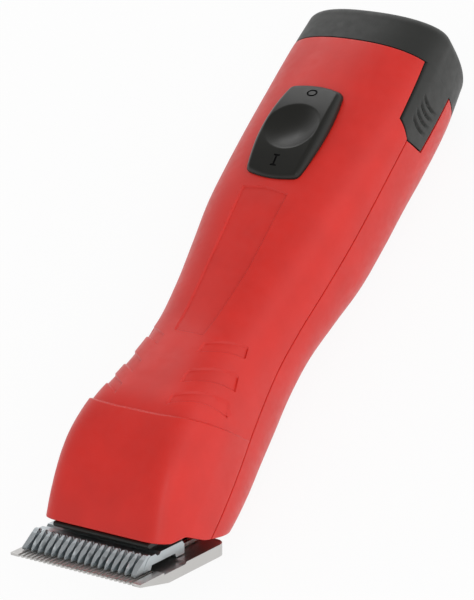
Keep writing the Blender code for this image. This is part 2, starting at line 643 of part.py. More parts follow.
def gear_outline(teeth, turn):
    """Outline of a spur gear as (x, z) pairs, with a tooth at the angle `turn`."""
    pitch_r = GEAR_MODULE * teeth / 2
    tip, root = pitch_r + 0.85 * GEAR_MODULE, pitch_r - 1.15 * GEAR_MODULE
    step = 2 * math.pi / teeth
    points = []
    for i in range(teeth):
        centre = turn + i * step
        for offset, radius in ((-0.29, root), (-0.11, tip), (0.11, tip), (0.29, root)):
            angle = centre + offset * step
            points.append((radius * math.cos(angle), radius * math.sin(angle)))
    return points


def make_drive(mats):
    can = rod((0, MOTOR_FRONT, MOTOR_Z), (0, MOTOR_BACK, MOTOR_Z), MOTOR_R, 32)
    motor = add_part("motor_can", can, mats["steel"], (0, 0, MOTOR_Z))
    nose = tool("motor_nose", rod((0, MOTOR_FRONT - 3.2, MOTOR_Z), (0, MOTOR_FRONT + 1, MOTOR_Z), 4.0))
    hole = tool("motor_bore", rod((0, -35, MOTOR_Z), (0, -20, MOTOR_Z), SHAFT_R + GAP, 20))
    boolean(motor, "UNION", nose)
    boolean(motor, "DIFFERENCE", hole)
    cap = rod((0, MOTOR_BACK + GAP, MOTOR_Z), (0, MOTOR_BACK + 5.5, MOTOR_Z), MOTOR_R - 1.0, 32)
    add_part("motor_end_cap", cap, mats["black"], (0, MOTOR_BACK, MOTOR_Z))

    front_y, back_y = -31.2, -28.0
    outline = [(x, front_y, z) for x, _, z in whole_section(back_y, WALL + 1.5 * GAP)]
    plate = prism(outline, (0, back_y - front_y, 0))
    bulkhead = add_part("motor_mount", plate, mats["bright"], (0, -30, MOTOR_Z))
    boolean(bulkhead, "DIFFERENCE", tool("nose_hole", rod((0, -40, MOTOR_Z), (0, -20, MOTOR_Z), 4.4)))
    boolean(bulkhead, "DIFFERENCE", tool("axle_hole", rod((0, -40, GEAR_Z), (0, -20, GEAR_Z), AXLE_R + GAP)))

    spin = axis_empty("pinion_axis", (0, GEAR_Y[0], MOTOR_Z))
    pinion_teeth = gear_outline(PINION_TEETH, math.pi / 2 + math.pi / PINION_TEETH)
    shape = prism([(x, GEAR_Y[0] - 0.5, MOTOR_Z + z) for x, z in pinion_teeth], (0, 5.0, 0))
    pinion = add_part("motor_pinion", shape, mats["brass"], (0, GEAR_Y[0], MOTOR_Z), spin)
    bore = tool("pinion_bore", rod((0, -45, MOTOR_Z), (0, -25, MOTOR_Z), SHAFT_R + GAP, 20))
    boolean(pinion, "DIFFERENCE", bore)
    shaft = rod((0, GEAR_Y[0] - 1.2, MOTOR_Z), (0, -21.5, MOTOR_Z), SHAFT_R, 20)
    add_part("motor_shaft", shaft, mats["bright"], (0, GEAR_Y[0], MOTOR_Z), spin)

    turn = axis_empty("gear_axis", (0, GEAR_Y[0], GEAR_Z))
    gear_teeth = gear_outline(GEAR_TEETH, -math.pi / 2)
    shape = prism([(x, GEAR_Y[0], GEAR_Z + z) for x, z in gear_teeth], (0, GEAR_Y[1] - GEAR_Y[0], 0))
    gear = add_part("crank_gear", shape, mats["nylon"], (0, GEAR_Y[0], GEAR_Z), turn)
    bore = tool("gear_bore", rod((0, -36.0, GEAR_Z), (0, -20, GEAR_Z), AXLE_R + GAP))
    boolean(gear, "DIFFERENCE", bore)
    pin = rod((CRANK_OFFSET, -43.5, GEAR_Z), (CRANK_OFFSET, GEAR_Y[0] - GAP, GEAR_Z), CRANK_PIN_R, 20)
    add_part("crank_pin", pin, mats["bright"], (0, GEAR_Y[0], GEAR_Z), turn)
    axle = rod((0, -35.6, GEAR_Z), (0, -28.2, GEAR_Z), AXLE_R, 20)
    add_part("gear_axle", axle, mats["bright"], (0, GEAR_Y[1], GEAR_Z))


def make_lever(mats):
    frame = add_part("gear_frame", box((-9.5, 9.5), (-67.0, -46.0), (21.8, 24.2)), mats["bright"],
                     (0, LEVER_Y, 22))
    holes = merge(upright(FRAME_SCREWS, 18, 30, 1.3, 16),
                  rod((0, LEVER_Y, 18), (0, LEVER_Y, 30), LEVER_PIN_R + GAP))
    boolean(frame, "DIFFERENCE", tool("frame_holes", holes))
    for number, (x, y) in enumerate(FRAME_SCREWS, 1):
        add_part("frame_screw_%d" % number, cap_screw(x, y, 24.5, 14.0), mats["bright"], (x, y, 24))
    pin = rod((0, LEVER_Y, 20.6), (0, LEVER_Y, 40.0), LEVER_PIN_R)
    add_part("lever_pin", pin, mats["bright"], (0, LEVER_Y, 22))

    swing = axis_empty("lever_axis", (0, LEVER_Y, LEVER_Z[0]))
    low, high = LEVER_Z
    arm = ((2.6, -82.0), (2.6, -58.0), (5.6, -55.0), (5.6, -40.0), (3.7, -40.0), (3.7, -52.0),
           (-3.7, -52.0), (-3.7, -40.0), (-5.6, -40.0), (-5.6, -55.0), (-2.6, -58.0), (-2.6, -82.0))
    finger = ((17.6, 3.1), (20.4, 3.1), (20.6, 9.6), (17.4, 9.6))
    hub = rod((0, LEVER_Y, 27.0), (0, LEVER_Y, 37.0), 4.2, 24)
    arms = prism([(x, y, low) for x, y in arm], (0, 0, high - low))
    tip = across(finger, -FINGER_HALF, FINGER_HALF, blade_point)
    lever = add_part("swing_lever", at_stroke_end(hub), mats["steel"], (0, LEVER_Y, low), swing)
    boolean(lever, "UNION", tool("lever_arms", at_stroke_end(arms)))
    boolean(lever, "UNION", tool("drive_finger", at_stroke_end(tip)))
    pin_hole = tool("lever_bore", rod((0, LEVER_Y, 20), (0, LEVER_Y, 45), LEVER_PIN_R + GAP))
    boolean(lever, "DIFFERENCE", pin_hole)


def at_stroke_end(bm):
    """Turn a piece of the lever about its pin, so that its finger stands at the stroke's -X end."""
    finger_reach = LEVER_Y - blade_point(0, 19.0, 3.1)[1]
    turn = Matrix.Rotation(-math.atan2(STROKE, finger_reach), 3, "Z")
    bmesh.ops.rotate(bm, verts=bm.verts, cent=(0, LEVER_Y, 0), matrix=turn)
    return bm


def cap_screw(x, y, seat, end, head_r=1.9, shank_r=0.9, head=1.3):
    """A small screw whose head stands on `seat` and whose shank ends at `end`, above or below it."""
    way = math.copysign(1.0, seat - end)
    return turned(x, y, ((head_r, seat + way * head), (head_r, seat), (shank_r, seat - way * 0.05),
                         (shank_r, end)), 14)


# ---------------------------------------------------------------- blade set and hinge

def comb_outline():
    """The comb seen square to its face, as (x, u) pairs: teeth in front, a notch behind."""
    pitch = 2 * COMB_HALF / (COMB_TEETH + 0.2)
    points = []
    for i in range(COMB_TEETH):
        centre = (i - (COMB_TEETH - 1) / 2) * pitch
        for offset, u in ((-0.31, COMB_TOOTH_DEPTH), (-0.22, 0.0), (0.22, 0.0), (0.31, COMB_TOOTH_DEPTH)):
            points.append((centre + offset * pitch, u))
    points = points[4:-4]                       # a broad guard stands in for each outermost tooth
    points[:2] = [(-COMB_HALF, COMB_TOOTH_DEPTH), (-COMB_HALF, 0.0)]
    points[-2:] = [(COMB_HALF, 0.0), (COMB_HALF, COMB_TOOTH_DEPTH)]
    rear = []
    for degrees in range(0, 91, 15):
        turn = math.radians(degrees)
        rear.append((COMB_HALF - COMB_CORNER * (1 - math.cos(turn)),
                     COMB_LENGTH - COMB_CORNER * (1 - math.sin(turn))))
    rear += [(COMB_NOTCH_HALF + 1.2, COMB_LENGTH), (COMB_NOTCH_HALF, COMB_NOTCH_U)]
    return points + rear + [(-x, u) for x, u in reversed(rear)]


def make_blade_set(mats):
    hinge = blade_point(0, HINGE_U, HINGE_N)
    body = axis_empty("blade_hinge", hinge)
    comb = add_part("comb_blade", plan_prism(comb_outline(), -COMB_THICK, 0.0), mats["steel"], hinge, body)
    below = ((-2.0, -COMB_TIP_THICK + 0.3), (-2.0, -9.0), (COMB_BEVEL_LENGTH, -9.0),
             (COMB_BEVEL_LENGTH, -COMB_THICK))
    boolean(comb, "DIFFERENCE", tool("comb_bevel", across(below, -30, 30, blade_point)))
    near, far = COMB_HOLLOW_U
    hollow = ((near, 0.5), (near + 0.2, -COMB_HOLLOW), (far - 1.0, -COMB_HOLLOW), (far, 0.5))
    boolean(comb, "DIFFERENCE", tool("comb_hollow", across(hollow, -30, 30, blade_point)))
    screw_places = [(side * BLADE_SCREW_X, BLADE_SCREW_U) for side in (1, -1)]
    holes = tool("comb_screw_holes", merge(*(rod(blade_point(x, u, -8), blade_point(x, u, 5), 1.7, 20)
                                             for x, u in screw_places)))
    heads = tool("comb_head_holes", merge(*(rod(blade_point(x, u, -8), blade_point(x, u, -1.7), 3.1, 20)
                                            for x, u in screw_places)))
    boolean(comb, "DIFFERENCE", holes)
    boolean(comb, "DIFFERENCE", heads)
    turns = np.linspace(0, 2 * math.pi, 16, endpoint=False)
    for number, (x, u) in enumerate(screw_places, 1):
        screw = loft([[blade_point(x + r * math.cos(t), u + r * math.sin(t), n) for t in turns]
                      for r, n in ((2.7, -3.5), (2.7, -2.0), (1.35, -1.95), (1.35, 1.0))])
        add_part("blade_screw_%d" % number, screw, mats["bright"], hinge, body)

    right = ((CHANNEL_HALF, CHANNEL_LOW), (CHANNEL_HALF, CHANNEL_HIGH), (CHANNEL_MOUTH, CHANNEL_HIGH),
             (CHANNEL_MOUTH, SOCKET_TOP), (SOCKET_HALF, SOCKET_TOP), (SOCKET_HALF, FLANGE_TOP),
             (FLANGE_HALF, FLANGE_TOP), (FLANGE_HALF, GAP))
    profile = list(right) + [(-x, n) for x, n in reversed(right)]
    low_u, high_u = SOCKET_U
    section = [blade_point(x, low_u, n) for x, n in profile]
    socket = add_part("blade_socket", prism(section, blade_direction(0, high_u - low_u, 0)),
                      mats["bright"], hinge, body)
    boolean(socket, "DIFFERENCE", holes)

    inner, outer = SPRING_X
    for side, name in ((1, "tension_spring_right"), (-1, "tension_spring_left")):
        rings = [[blade_point(side * x, u, n + rise) for x, rise in
                  ((inner, 0), (outer, 0), (outer, SPRING_THICK), (inner, SPRING_THICK))]
                 for u, n in SPRING_LINE]
        add_part(name, loft(rings), mats["bright"], hinge, body)

    make_cutter(mats, hinge, body)
    make_hinge(mats, hinge, body)


def cutter_tooth(centre, pitch, first, last):
    """One cutter tooth: pointed in front, broad in the middle, narrow where it tops the ridge."""
    rings = []
    for u, foot, crest, low, high in CUTTER_TOOTH:
        left, right = (END_FOOT if first else foot), (END_FOOT if last else foot)
        rise_left, rise_right = (END_FOOT if first else crest), (END_FOOT if last else crest)
        rings.append([blade_point(centre + share * pitch, u, n) for share, n in
                      ((-left, low), (right, low), (rise_right, high), (-rise_left, high))])
    return loft(rings)


def make_cutter(mats, hinge, body):
    slide = axis_empty("cutter_slide", hinge)
    slide.parent = body
    slide.location = (0, 0, 0)
    top, back = CUTTER_TOP_N, CUTTER_BACK_U
    profile = ((7.2, GAP), (10.6, GAP), (11.2, 1.6), (22.4, 1.6), (23.0, GAP), (back, GAP), (back, 3.2),
               (back - 1.0, top), (15.6, top), (15.0, top - 0.7), (13.8, top - 0.7), (13.2, top),
               (10.8, top), (9.9, 4.2), (9.0, 3.5), (8.1, 2.3))
    body_block = across(profile, -CUTTER_HALF - STROKE, CUTTER_HALF - STROKE, blade_point)
    cutter = add_part("cutter_blade", body_block, mats["steel"], hinge)
    pitch = 2 * CUTTER_HALF / CUTTER_TEETH
    teeth = []
    for i in range(CUTTER_TEETH):
        centre = (i - (CUTTER_TEETH - 1) / 2) * pitch - STROKE
        teeth.append(cutter_tooth(centre, pitch, i == 0, i == CUTTER_TEETH - 1))
    low_u, high_u = DRIVE_SLOT_U
    left, right = -DRIVE_SLOT_HALF - STROKE, DRIVE_SLOT_HALF - STROKE
    slot = plan_prism(((left, low_u), (right, low_u), (right, high_u), (left, high_u)),
                      DRIVE_SLOT_FLOOR, 9.0)
    boolean(cutter, "DIFFERENCE", tool("drive_slot", slot))
    boolean(cutter, "UNION", tool("cutter_teeth", merge(*teeth)))


def make_hinge(mats, hinge, body):
    tongue = add_part("hinge_tongue", across(((29.0, 1.4), (HINGE_U, 1.4), (HINGE_U, 2.4), (29.0, 2.4)),
                                             -KNUCKLE_HALF, KNUCKLE_HALF, blade_point),
                      mats["bright"], hinge, body)
    x, y, z = hinge
    boolean(tongue, "UNION", tool("knuckle", rod((-KNUCKLE_HALF, y, z), (KNUCKLE_HALF, y, z), KNUCKLE_R)))
    pin_hole = tool("hinge_bore", rod((-20, y, z), (20, y, z), HINGE_PIN_R + GAP))
    boolean(tongue, "DIFFERENCE", pin_hole)
    add_part("hinge_pin", rod((-8.2, y, z), (8.2, y, z), HINGE_PIN_R), mats["bright"], hinge)
    ear = ((y - 3.0, z), (y - 2.1, z + 2.1), (y, z + 3.0), (y + 8.0, z + 0.5), (y + 17.0, z - 1.0),
           (y + 17.0, 7.7), (y + 7.0, 7.7), (y, z - 3.0), (y - 2.1, z - 2.1))
    bracket = add_part("hinge_bracket", across(ear, 5.8, 7.4), mats["bright"], (0, y + 12, 8))
    boolean(bracket, "UNION", tool("left_ear", across(ear, -7.4, -5.8)))
    boolean(bracket, "UNION", tool("bracket_base", box((-6.2, 6.2), (y + 7.6, y + 16.8), (7.7, 9.3))))
    boolean(bracket, "DIFFERENCE", pin_hole)
    holes = merge(*(rod((a, b, 5), (a, b, 12), 1.2, 16) for a, b in BRACKET_SCREWS))
    boolean(bracket, "DIFFERENCE", tool("bracket_holes", holes))
    for number, (a, b) in enumerate(BRACKET_SCREWS, 1):
        add_part("bracket_screw_%d" % number, cap_screw(a, b, 9.6, 4.9, 1.6, 0.85), mats["bright"], (a, b, 9))


def main():
    clear_scene()
    mats = make_materials()
    make_housing(mats)
    make_head_insert(mats)
    make_battery(mats)
    make_slider(mats)
    make_electrics(mats)
    make_drive(mats)
    make_lever(mats)
    make_blade_set(mats)


main()
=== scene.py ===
"""Cordless animal clipper on a pale studio floor, seen from above its right front side.

Everything is in metres in the clipper's own frame: +X right, -Y blade end, +Z up.  Sizes that
belong to the clipper's form are written in millimetres and turned into metres by MM.
"""
import json
import math

import bmesh
import bpy
import numpy as np
from mathutils import Matrix, Vector


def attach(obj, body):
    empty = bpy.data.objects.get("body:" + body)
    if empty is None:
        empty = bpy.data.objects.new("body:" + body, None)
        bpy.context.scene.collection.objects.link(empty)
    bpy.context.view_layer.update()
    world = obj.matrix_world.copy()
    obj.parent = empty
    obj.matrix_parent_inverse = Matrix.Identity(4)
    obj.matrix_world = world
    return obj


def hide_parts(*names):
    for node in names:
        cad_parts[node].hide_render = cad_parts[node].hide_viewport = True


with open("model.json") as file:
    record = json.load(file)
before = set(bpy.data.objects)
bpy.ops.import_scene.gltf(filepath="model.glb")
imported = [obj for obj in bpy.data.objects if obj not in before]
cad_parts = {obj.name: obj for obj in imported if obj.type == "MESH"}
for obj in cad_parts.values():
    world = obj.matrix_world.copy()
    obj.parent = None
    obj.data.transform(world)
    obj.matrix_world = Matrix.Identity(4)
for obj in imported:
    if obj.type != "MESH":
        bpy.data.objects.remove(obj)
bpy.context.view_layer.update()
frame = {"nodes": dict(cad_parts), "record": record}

MM = 0.001

CAMERA_ANGLES = (53.15, 46.13, -32.97)          # azimuth, elevation and roll, in degrees
CAMERA_PLACE = (0.5579, -0.4205, 0.7572)
CAMERA_LENS, CAMERA_SENSOR = 200.97, 36.0       # in millimetres
CAMERA_REACH = 20.0

WALL_LIGHT = (1.3, 0.65)        # light from the walls and from the ceiling
WALL_LIGHT_RISE = (0.0, 1.0)    # heights between which the walls turn into the ceiling
WALL_SEEN = (1.0, 0.25)         # the same as seen directly and in reflections
WALL_SEEN_RISE = (0.2, 0.7)
RIGHT_LIGHT = 0.4               # how much more light comes from the right
LIGHT_TARGET = (0.0, 0.0, 0.02)
LIGHTS = (                      # name, place, size and power
    ("softbox_rear", (-0.9, 1.1, 0.72), (0.7, 0.45), 2.0),
    ("key_right", (0.9, -0.5, 0.9), (0.6, 0.4), 1.2),
)

# The floor's grey, the share of plain white seen on it, and half its size.
FLOOR_TONE, FLOOR_GLOW, FLOOR_REACH = 0.86, 0.92, 6.0

# The part of the noise that is spread over a material's whole variation, and the noise's scales for
# the colour and for the gloss.
NOISE_SPAN, DRIFT_SCALE, GLOSS_SCALE = (0.3, 0.7), 90.0, 400.0


# ---------------------------------------------------------------- camera and studio

def make_camera():
    """The camera stands high off the right front corner, rolled so the clipper runs up the frame."""
    azimuth, elevation, roll = (math.radians(a) for a in CAMERA_ANGLES)
    back = Vector((math.sin(azimuth) * math.cos(elevation),
                   -math.cos(azimuth) * math.cos(elevation),
                   math.sin(elevation)))
    side = (-back).cross(Vector((0, 0, 1))).normalized()
    up = side.cross(-back)
    right = math.cos(roll) * side + math.sin(roll) * up
    top = -math.sin(roll) * side + math.cos(roll) * up
    data = bpy.data.cameras.new("camera")
    data.lens = CAMERA_LENS
    data.sensor_width = CAMERA_SENSOR
    data.clip_end = CAMERA_REACH
    camera = bpy.data.objects.new("camera", data)
    bpy.context.scene.collection.objects.link(camera)
    matrix = Matrix((right, top, back)).transposed().to_4x4()
    matrix.translation = Vector(CAMERA_PLACE)
    camera.matrix_world = matrix
    bpy.context.scene.camera = camera


def studio_light(name, place, size, power):
    """A white rectangular light that looks at the clipper."""
    data = bpy.data.lights.new(name, "AREA")
    data.shape = "RECTANGLE"
    data.size, data.size_y = size
    data.energy = power
    lamp = bpy.data.objects.new(name, data)
    bpy.context.scene.collection.objects.link(lamp)
    lamp.location = place
    way = Vector(LIGHT_TARGET) - Vector(place)
    lamp.rotation_euler = way.to_track_quat("-Z", "Y").to_euler()


def seen_factor(nodes, links):
    """1 for camera, glossy and transmission rays, 0 for the rays that light the clipper."""
    path = nodes.new("ShaderNodeLightPath")
    first = nodes.new("ShaderNodeMath")
    first.operation = "MAXIMUM"
    second = nodes.new("ShaderNodeMath")
    second.operation = "MAXIMUM"
    links.new(path.outputs["Is Camera Ray"], first.inputs[0])
    links.new(path.outputs["Is Glossy Ray"], first.inputs[1])
    links.new(first.outputs[0], second.inputs[0])
    links.new(path.outputs["Is Transmission Ray"], second.inputs[1])
    return second.outputs[0]


def make_world():
    """Pale walls round a dimmer ceiling; the light falls more from the right than from the left."""
    world = bpy.data.worlds.new("studio")
    bpy.context.scene.world = world
    world.use_nodes = True
    nodes, links = world.node_tree.nodes, world.node_tree.links
    nodes.clear()
    way = nodes.new("ShaderNodeTexCoord")
    parts = nodes.new("ShaderNodeSeparateXYZ")
    links.new(way.outputs["Generated"], parts.inputs["Vector"])

    def shade(wall, ceiling, rise):
        """A level that goes from the walls' to the ceiling's, and a white background shader."""
        fall = nodes.new("ShaderNodeMapRange")
        fall.inputs["From Min"].default_value = rise[0]
        fall.inputs["From Max"].default_value = rise[1]
        fall.inputs["To Min"].default_value = wall
        fall.inputs["To Max"].default_value = ceiling
        links.new(parts.outputs["Z"], fall.inputs["Value"])
        back = nodes.new("ShaderNodeBackground")
        back.inputs["Color"].default_value = (1.0, 1.0, 1.0, 1.0)
        return fall.outputs["Result"], back

    level, light = shade(*WALL_LIGHT, WALL_LIGHT_RISE)
    lean = nodes.new("ShaderNodeMath")
    lean.operation = "MULTIPLY_ADD"
    lean.inputs[1].default_value = RIGHT_LIGHT
    lean.inputs[2].default_value = 1.0
    links.new(parts.outputs["X"], lean.inputs[0])
    product = nodes.new("ShaderNodeMath")
    product.operation = "MULTIPLY"
    links.new(level, product.inputs[0])
    links.new(lean.outputs[0], product.inputs[1])
    links.new(product.outputs[0], light.inputs["Strength"])
    level, seen = shade(*WALL_SEEN, WALL_SEEN_RISE)
    links.new(level, seen.inputs["Strength"])
    mix = nodes.new("ShaderNodeMixShader")
    out = nodes.new("ShaderNodeOutputWorld")
    links.new(seen_factor(nodes, links), mix.inputs["Fac"])
    links.new(light.outputs[0], mix.inputs[1])
    links.new(seen.outputs[0], mix.inputs[2])
    links.new(mix.outputs[0], out.inputs["Surface"])


def make_floor():
    """A pale floor that looks nearly white but lights the clipper like a plain matt one."""
    mat = bpy.data.materials.new("pale_floor")
    mat.use_nodes = True
    nodes, links = mat.node_tree.nodes, mat.node_tree.links
    nodes.clear()
    matt = nodes.new("ShaderNodeBsdfDiffuse")
    matt.inputs["Color"].default_value = (FLOOR_TONE, FLOOR_TONE, FLOOR_TONE, 1.0)
    glow = nodes.new("ShaderNodeEmission")
    glow.inputs["Color"].default_value = (1.0, 1.0, 1.0, 1.0)
    glow.inputs["Strength"].default_value = 1.0
    share = nodes.new("ShaderNodeMath")
    share.operation = "MULTIPLY"
    share.inputs[1].default_value = FLOOR_GLOW
    mix = nodes.new("ShaderNodeMixShader")
    out = nodes.new("ShaderNodeOutputMaterial")
    links.new(seen_factor(nodes, links), share.inputs[0])
    links.new(share.outputs[0], mix.inputs["Fac"])
    links.new(matt.outputs[0], mix.inputs[1])
    links.new(glow.outputs[0], mix.inputs[2])
    links.new(mix.outputs[0], out.inputs["Surface"])
    mesh = bpy.data.meshes.new("floor")
    corners = [(x * FLOOR_REACH, y * FLOOR_REACH, 0) for x, y in ((-1, -1), (1, -1), (1, 1), (-1, 1))]
    mesh.from_pydata(corners, [], [(0, 1, 2, 3)])
    mesh.materials.append(mat)
    floor = bpy.data.objects.new("floor", mesh)
    bpy.context.scene.collection.objects.link(floor)


def make_studio():
    """The camera, the surroundings, the floor and the lights."""
    bpy.context.scene.view_settings.view_transform = "Standard"
    make_camera()
    make_world()
    make_floor()
    for light in LIGHTS:
        studio_light(*light)


# ---------------------------------------------------------------- materials

def textured(name, colour, roughness, grain=None, metallic=0.0, spread=0.05, rough_spread=0.05,
             stretch=(1, 1, 1), specular=0.5):
    """A principled material with slow colour drift, uneven gloss and, given its width and depth in
    millimetres, a fine surface grain."""
    mat = bpy.data.materials.new(name)
    mat.use_nodes = True
    nodes, links = mat.node_tree.nodes, mat.node_tree.links
    shader = nodes["Principled BSDF"]
    shader.inputs["Metallic"].default_value = metallic
    shader.inputs["Specular IOR Level"].default_value = specular
    place = nodes.new("ShaderNodeTexCoord")
    mapping = nodes.new("ShaderNodeMapping")
    mapping.inputs["Scale"].default_value = stretch
    links.new(place.outputs["Object"], mapping.inputs["Vector"])

    def noise(scale, detail):
        node = nodes.new("ShaderNodeTexNoise")
        node.inputs["Scale"].default_value = scale
        node.inputs["Detail"].default_value = detail
        links.new(mapping.outputs["Vector"], node.inputs["Vector"])
        return node

    drift = noise(DRIFT_SCALE, 3.0)
    ramp = nodes.new("ShaderNodeValToRGB")
    for stop, at, factor in zip(ramp.color_ramp.elements, NOISE_SPAN, (1 - spread, 1 + spread)):
        stop.position = at
        stop.color = (*[min(1.0, c * factor) for c in colour], 1.0)
    links.new(drift.outputs["Fac"], ramp.inputs["Fac"])
    links.new(ramp.outputs["Color"], shader.inputs["Base Color"])

    gloss = noise(GLOSS_SCALE, 2.0)
    span = nodes.new("ShaderNodeMapRange")
    span.inputs["From Min"].default_value, span.inputs["From Max"].default_value = NOISE_SPAN
    span.inputs["To Min"].default_value = roughness - rough_spread
    span.inputs["To Max"].default_value = roughness + rough_spread
    links.new(gloss.outputs["Fac"], span.inputs["Value"])
    links.new(span.outputs["Result"], shader.inputs["Roughness"])

    if grain:
        width, depth = grain
        bumps = noise(1.0 / (width * MM), 2.0)
        bump = nodes.new("ShaderNodeBump")
        bump.inputs["Strength"].default_value = 1.0
        bump.inputs["Distance"].default_value = depth * MM
        links.new(bumps.outputs["Fac"], bump.inputs["Height"])
        links.new(bump.outputs["Normal"], shader.inputs["Normal"])
    return mat


def make_materials():
    """One finish for each slot of the record, and three for pieces that differ within a slot."""
    return {
        "red_shell": textured("red_moulding", (0.61, 0.018, 0.011), 0.40, (0.45, 0.008), specular=0.45),
        "charcoal_battery": textured("charcoal_moulding", (0.024, 0.025, 0.023), 0.46, (0.4, 0.008),
                                     specular=0.4),
        "black_plastic": textured("black_moulding", (0.014, 0.015, 0.013), 0.36, (0.4, 0.01)),
        "slider_black": textured("slider_moulding", (0.012, 0.012, 0.010), 0.34, (0.35, 0.001),
                                 rough_spread=0.02, specular=0.4),
        # The engraved marks' cut faces are near black and dull, darker than the slider's plastic.
        "dark_mark_faces": textured("near_black_mark_faces", (0.004, 0.004, 0.004), 0.6, specular=0.1),
        "blade_steel": textured("ground_steel", (0.56, 0.55, 0.535), 0.33, None, 1.0, 0.02, 0.02),
        "cutter_steel": textured("hardened_steel", (0.52, 0.56, 0.58), 0.33, None, 1.0, 0.02, 0.02),
        "motor_steel": textured("drawn_steel", (0.5, 0.5, 0.5), 0.4, (0.2, 0.003), 1.0,
                                stretch=(1, 8, 1)),
        "bright_steel": textured("plated_steel", (0.72, 0.71, 0.69), 0.22, (0.2, 0.001), 1.0),
        "brass": textured("brass", (0.68, 0.46, 0.18), 0.32, (0.2, 0.002), 1.0),
        "nylon": textured("natural_nylon", (0.76, 0.74, 0.67), 0.5, (0.4, 0.01)),
        "board": textured("lacquered_board", (0.015, 0.14, 0.06), 0.35, (1.5, 0.01)),
    }


def paint_nodes(mats):
    """Give every CAD node the finish of its slot in the record; the cutter's steel is bluer."""
    slots = {row["node"]: row["material_slot"] for row in frame["record"]["subparts"]}
    for name, obj in frame["nodes"].items():
        mat = mats["cutter_steel" if name == "cutter_blade" else slots[name]]
        if not obj.material_slots:
            obj.data.materials.append(mat)
        for holder in obj.material_slots:
            holder.link = "OBJECT"
            holder.material = mat


# ---------------------------------------------------------------- sizes, in millimetres

# Stations of the handle: y, half width at the parting line, top, belly, squareness of the upper and
# of the lower half, and how far the sides lean in towards the top.
STATIONS = np.array((
    (-96.0, 24.2, 31.5, 12.0, 11.0, 2.8, 0.163),
    (-80.0, 24.2, 42.5, 7.5, 10.0, 2.8, 0.16),
    (-68.0, 24.0, 48.0, 2.6, 8.0, 2.7, 0.144),
    (-53.0, 22.9, 50.0, -0.1, 5.3, 2.6, 0.105),
    (-42.0, 21.6, 48.6, -0.4, 3.8, 2.6, 0.05),
    (-30.0, 20.5, 46.6, -0.4, 3.2, 2.6, 0.02),
    (-20.0, 20.0, 45.2, 0.6, 2.9, 2.6, 0.0),
    (-5.0, 20.9, 44.8, 2.0, 2.9, 2.6, 0.0),
    (10.0, 22.8, 45.4, 1.0, 2.9, 2.7, 0.0),
    (25.0, 24.4, 46.4, -0.4, 3.0, 2.9, 0.0),
    (39.0, 25.3, 46.8, -0.5, 2.8, 2.9, 0.0),
    (55.0, 26.0, 46.6, -0.5, 2.6, 2.8, 0.0),
    (68.0, 26.5, 46.0, -0.4, 2.4, 2.85, 0.0),
    (86.0, 26.5, 44.8, 0.2, 2.3, 2.9, 0.0),
    (102.0, 25.7, 42.9, 1.6, 2.35, 2.7, 0.0),
))

# Where the skin is worked out, and how often; then, in each section, the share of the height up to
# which the samples are spaced by height, after which they are spaced by width, and their number.
SKIN_Y, SKIN_STEP = (-110.0, 106.1), 0.5
SKIN_KNEE, SKIN_SAMPLES = 0.9, 160

SPLIT_Y = 89.6                                  # the housing's rear edge
CREASE, INTERIOR_CREASE, ARM_CREASE, SLIDER_CREASE = 35.0, 30.0, 60.0, 50.0     # in degrees
MERGE_GAP = 1e-7                                # in metres

# The housing's wall, the parting line between its halves, half the gap there, and the radii of the
# edges at the front and at the gap and the rear.
WALL = 2.0
PARTING_Z, PARTING_SLOPE, SEAM = 25.05, 0.0734, 0.2
FRONT_EDGE, SEAM_EDGE = 0.5, 0.22

# The tongue behind the gap: its run in y, half its height, and the depths of its two faces.
LIP_Y, LIP_HALF, LIP_DEPTHS = (-70.0, 64.0), 0.6, (0.5, 1.3)

# Rows of points over the two shells, closer where the edges are rounded, and shares of the way from
# the parting line to the middle.  Ahead of its warp end a shell's rows turn to follow the front edge.
FRONT_ROWS = (-90.0, -89.85, -89.6, -89.2)
REAR_ROWS = (89.3, 89.45, 89.54, SPLIT_Y)
UPPER_ROWS = np.concatenate((FRONT_ROWS, np.linspace(-88.6, -57.0, 30), np.linspace(-56.6, -54.2, 13),
                             np.linspace(-53.4, 88.8, 118), REAR_ROWS))
LOWER_ROWS = np.concatenate((FRONT_ROWS, np.linspace(-88.6, 88.8, 150), REAR_ROWS))
SHELL_COLUMNS = np.concatenate(((0.0, 0.0015, 0.0035, 0.006, 0.012), np.linspace(0.025, 1.0, 44)))
UPPER_WARP_END, LOWER_WARP_END = -66.0, -30.0

# The step behind the head: its y on the top, its height, how it fades down the sides, and how it
# sweeps back there.
HEAD_STEP_Y, HEAD_STEP, STEP_WIDTH = -55.4, 0.9, 0.8
STEP_FADE_LEVEL, STEP_FADE_POWER = 0.4, 0.7
STEP_SWEEP, STEP_REACH, STEP_SWEEP_POWER = 12.3, 32.0, 0.75

# The head's slanted front edge, which lies ahead of HEAD_REAR_Y, and the notch in it, measured
# along the slant, with its deepest point a little off its middle.
HEAD_EDGE_Y, HEAD_EDGE_Z, HEAD_REAR_Y = -89.5, 36.8, -40.0
HEAD_SLANT = math.radians(51.2)
NOTCH_START, NOTCH_END, NOTCH_DEPTH, NOTCH_SHIFT = 5.3, 19.4, 1.7, -1.5

# Recesses in the top, as corners seen from above.  They are cut where a plug meets a cover, which
# spans RECESS_SPAN in y and reaches RECESS_COVER over the skin.
RECESS_DEPTH, RECESS_COVER, RECESS_SPAN = 0.5, 1.0, (-57.0, 34.0)
GRIP_RECESSES = (
    ((7.2, -30.7), (18.0, -25.1), (17.3, -21.1), (7.2, -26.4)),
    ((8.7, -42.7), (19.6, -36.0), (18.7, -30.8), (8.3, -37.5)),
    ((9.2, -51.2), (21.0, -44.2), (20.0, -40.2), (9.0, -47.3)),
)
TOP_PANEL = ((-4.9, -24.2), (5.6, -24.2), (7.9, 2.0), (8.6, 29.0), (0.0, 30.0), (-8.0, 29.0),
             (-7.0, 2.0))

